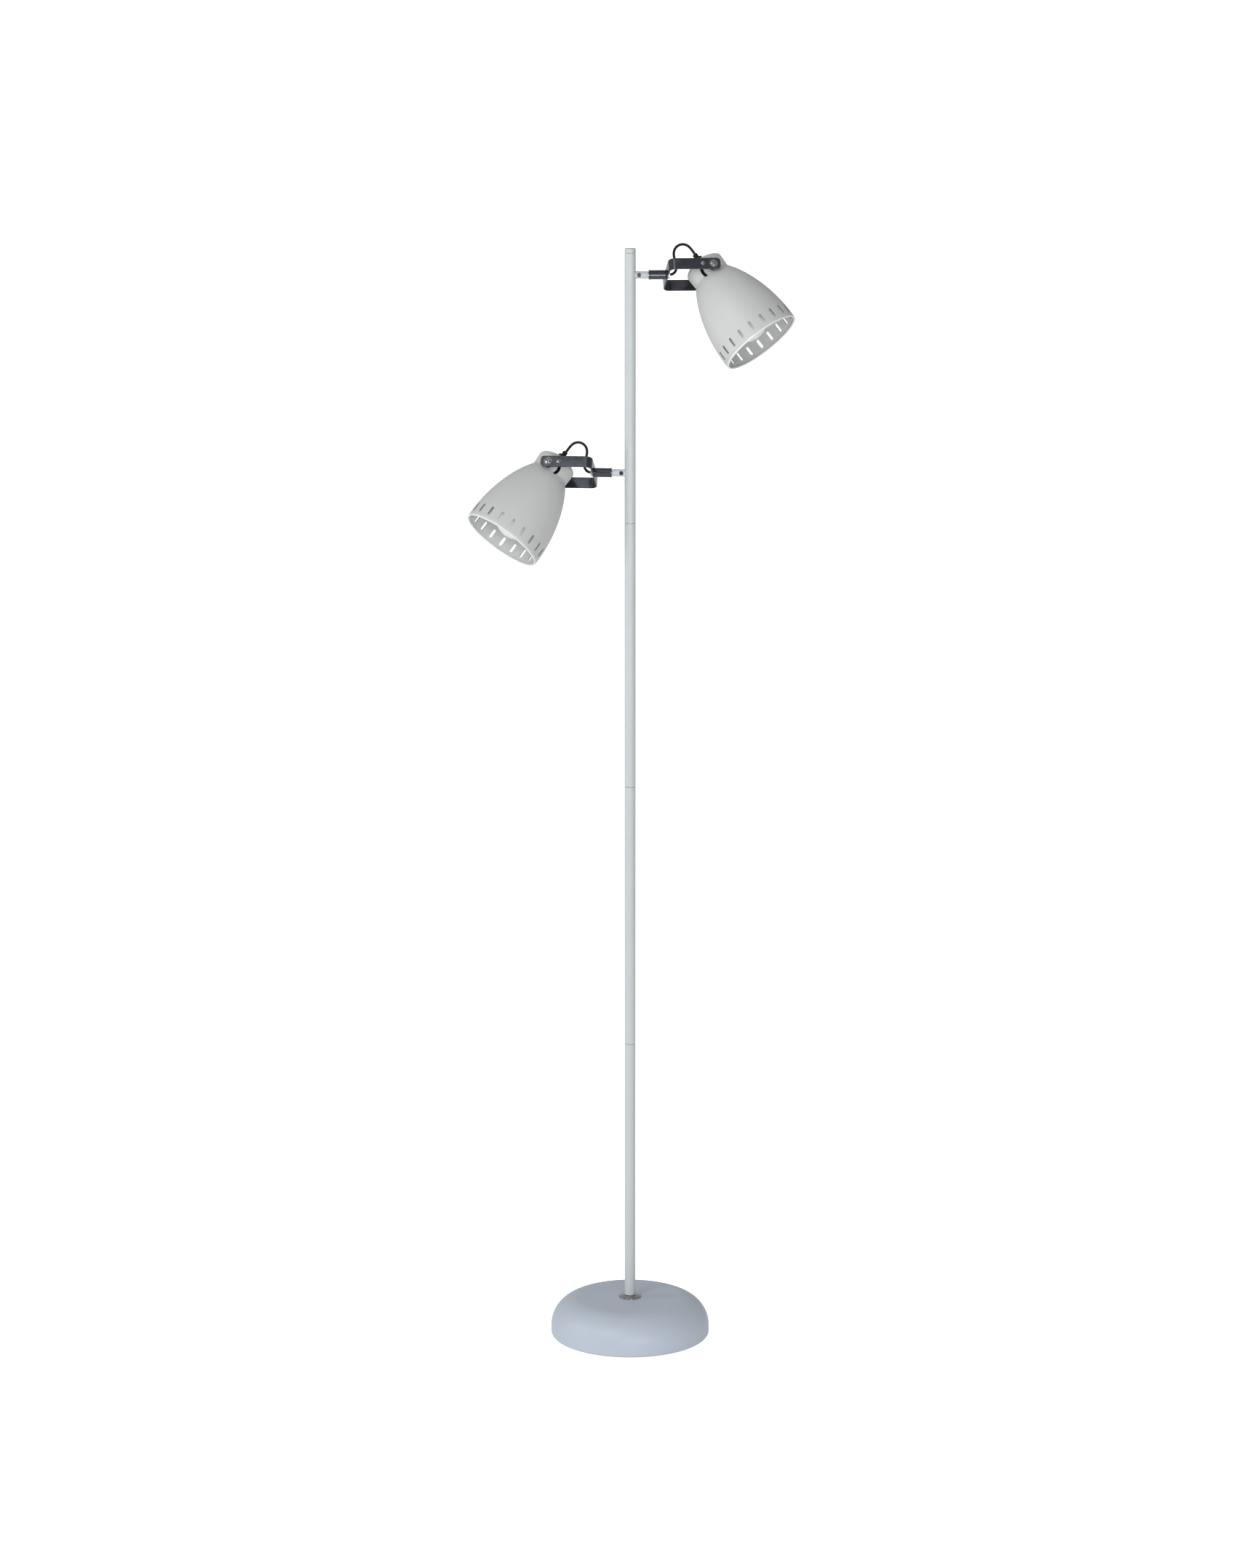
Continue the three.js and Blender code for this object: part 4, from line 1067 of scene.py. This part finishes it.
def build_shade(head):
    name, side, body = head.name, head.side, head.shade_body
    bell = shade_shape(side, head.tilt)
    shade = add_piece(f"{name}_bell", bell, head.shade, body, f"{name}_shade", sharp=55)
    paint_bell(shade, head)
    for place, direction in (("front", side), ("rear", -side)):
        node = f"{name}_pivot_spacer_{place}"
        add_piece(f"{name}_spacer_{place}", spacer_shape(direction), head.shade, body, node)
    add_piece(f"{name}_lead_gland", relief_shape(), head.shade, body, f"{name}_strain_relief")
    add_piece(f"{name}_socket", holder_shape(), head.shade, body, f"{name}_lampholder")
    add_piece(f"{name}_screw_cap", bulb_cap_shape(), head.shade, body, f"{name}_bulb_cap")
    add_piece(f"{name}_globe", bulb_shape(), head.shade, body, f"{name}_bulb_globe")


def paint_bell(shade, head):
    """Gives the inside a duller finish painted lighter, the rolled rim a painted highlight of lighter, glossier
    enamel, and the slot walls a painted shade.
    """
    for material in (shade_inside, shade_rim, cut_edge):
        shade.data.materials.append(material)
    inside, bead, painted_slot_wall = 1, 2, 3
    to_local = head.shade.inverted()
    turn = to_local.to_3x3().normalized()
    for face in shade.data.polygons:
        centre = to_local @ face.center
        normal = turn @ face.normal
        outward = (centre.x * normal.x + centre.y * normal.y) / hypot(centre.x, centre.y)
        in_slots = abs(centre.z - SLOT_PLACE) < SLOT_LENGTH / 2
        # The bead takes the painted highlight.
        if centre.z > RIM - 2 * RIM_BEAD:
            face.material_index = bead
        # The slot walls take the painted shade.
        elif in_slots and abs(outward) < 0.6:
            face.material_index = painted_slot_wall
        # Inner faces take the duller enamel that is painted lighter.
        elif outward < 0 or centre.z < CREASE and normal.z > 0.5:
            face.material_index = inside


# ------------------------------------ heads


class Head:
    """One arm with its yoke and shade: their frames at rest, from the frame's joints."""

    def __init__(self, name):
        swivel, hinge = joints[f"{name}_swivel"], joints[f"{name}_tilt"]
        start, pivot = Vector(swivel["pos_m"]), Vector(hinge["pos_m"])
        along = (pivot - start).normalized()
        self.name = name
        self.side = 1 if pivot.x > 0 else -1
        self.height = start.z / MM
        self.reach = (pivot - start).length / MM
        self.tilt = SHADE_TILT[name]
        self.yoke_body = swivel["child"]
        self.shade_body = hinge["child"]
        up = Vector((0, 0, 1))
        self.arm = self.basis(along, up.cross(along), start / MM)
        self.arm_mm = millimetres() @ self.arm
        across = -Vector(hinge["axis"]).normalized()
        self.yoke = millimetres() @ self.basis(along, across, start / MM)
        turn = Matrix.Rotation(pi / 2 - self.tilt, 4, "Y")
        self.shade = self.yoke @ Matrix.Translation((self.reach, 0, 0)) @ turn

    @staticmethod
    def basis(x, y, origin):
        """The frame with these first two axes, in millimetres."""
        columns = Matrix((x, y, x.cross(y))).transposed()
        return Matrix.Translation(origin) @ columns.to_4x4()


# ------------------------------------ studio


def add_softbox(name, place, size, power):
    """A rectangular light that faces the middle of the lamp."""
    light = bpy.data.objects.new(name, bpy.data.lights.new(name, "AREA"))
    light.data.shape = "RECTANGLE"
    light.data.size, light.data.size_y = size
    light.data.energy = power
    light.location = place
    aim = Vector(LAMP_MIDDLE) - Vector(place)
    light.rotation_euler = aim.to_track_quat("-Z", "Y").to_euler()
    bpy.context.scene.collection.objects.link(light)


def build_floor():
    """A floor that reaches the horizon. It glows a little, and shows as white."""
    mesh = bpy.data.meshes.new("floor")
    corners = [(-FLOOR_HALF, -FLOOR_HALF, 0), (FLOOR_HALF, -FLOOR_HALF, 0), (FLOOR_HALF, FLOOR_HALF, 0),
               (-FLOOR_HALF, FLOOR_HALF, 0)]
    mesh.from_pydata(corners, [], [(0, 1, 2, 3)])
    floor = bpy.data.objects.new("floor", mesh)
    bpy.context.scene.collection.objects.link(floor)
    material, tree, shader = new_material("floor", 0.9)
    tint(tree, pattern(tree, 3), (0.9, 0.9, 0.9), (0.92, 0.92, 0.92), shader.inputs["Base Color"])
    shader.inputs["Emission Color"].default_value = (1, 1, 1, 1)
    rays = tree.nodes.new("ShaderNodeLightPath")
    glow = tree.nodes.new("ShaderNodeMapRange")
    glow.inputs["To Min"].default_value = FLOOR_GLOW
    glow.inputs["To Max"].default_value = FLOOR_WHITE
    tree.links.new(rays.outputs["Is Camera Ray"], glow.inputs["Value"])
    tree.links.new(glow.outputs["Result"], shader.inputs["Emission Strength"])
    mesh.materials.append(material)


def build_world():
    """White where the camera looks; for the lamp, a sky that is brighter on the left and dimmer overhead."""
    world = bpy.data.worlds.new("studio")
    world.use_nodes = True
    tree = world.node_tree
    direction = tree.nodes.new("ShaderNodeTexCoord")
    axes = tree.nodes.new("ShaderNodeSeparateXYZ")
    sky = tree.nodes.new("ShaderNodeMapRange")
    sky.inputs["From Min"].default_value = -1
    sky.inputs["To Min"].default_value = SKY_LEFT
    sky.inputs["To Max"].default_value = SKY_RIGHT
    overhead = tree.nodes.new("ShaderNodeMapRange")
    overhead.inputs["From Min"].default_value = SKY_TOP_START
    overhead.inputs["To Min"].default_value = 1
    overhead.inputs["To Max"].default_value = SKY_TOP
    dimmed = tree.nodes.new("ShaderNodeMath")
    dimmed.operation = "MULTIPLY"
    rays = tree.nodes.new("ShaderNodeLightPath")
    strength = tree.nodes.new("ShaderNodeMapRange")
    background = tree.nodes["Background"]
    background.inputs["Color"].default_value = (1, 1, 1, 1)
    tree.links.new(direction.outputs["Generated"], axes.inputs["Vector"])
    tree.links.new(axes.outputs["X"], sky.inputs["Value"])
    tree.links.new(rays.outputs["Is Camera Ray"], strength.inputs["Value"])
    tree.links.new(axes.outputs["Z"], overhead.inputs["Value"])
    tree.links.new(sky.outputs["Result"], dimmed.inputs[0])
    tree.links.new(overhead.outputs["Result"], dimmed.inputs[1])
    tree.links.new(dimmed.outputs["Value"], strength.inputs["To Min"])
    tree.links.new(strength.outputs["Result"], background.inputs["Strength"])
    bpy.context.scene.world = world


def build_studio():
    build_floor()
    build_world()
    for name, (place, size, power) in SOFTBOXES.items():
        add_softbox(name, place, size, power)
    bpy.context.scene.view_settings.view_transform = "Standard"


# ------------------------------------ assembly

heads = [Head(name) for name in SHADE_TILT]
build_camera()
for head in heads:
    build_lead_loop(head)
build_foot()
build_pole()
for head in heads:
    build_arm(head)
    build_yoke(head)
    build_shade(head)
for node, cad_piece in frame["nodes"].items():
    cad_piece.data.materials.clear()
    cad_piece.data.materials.append(materials[slots[node]])
build_studio()
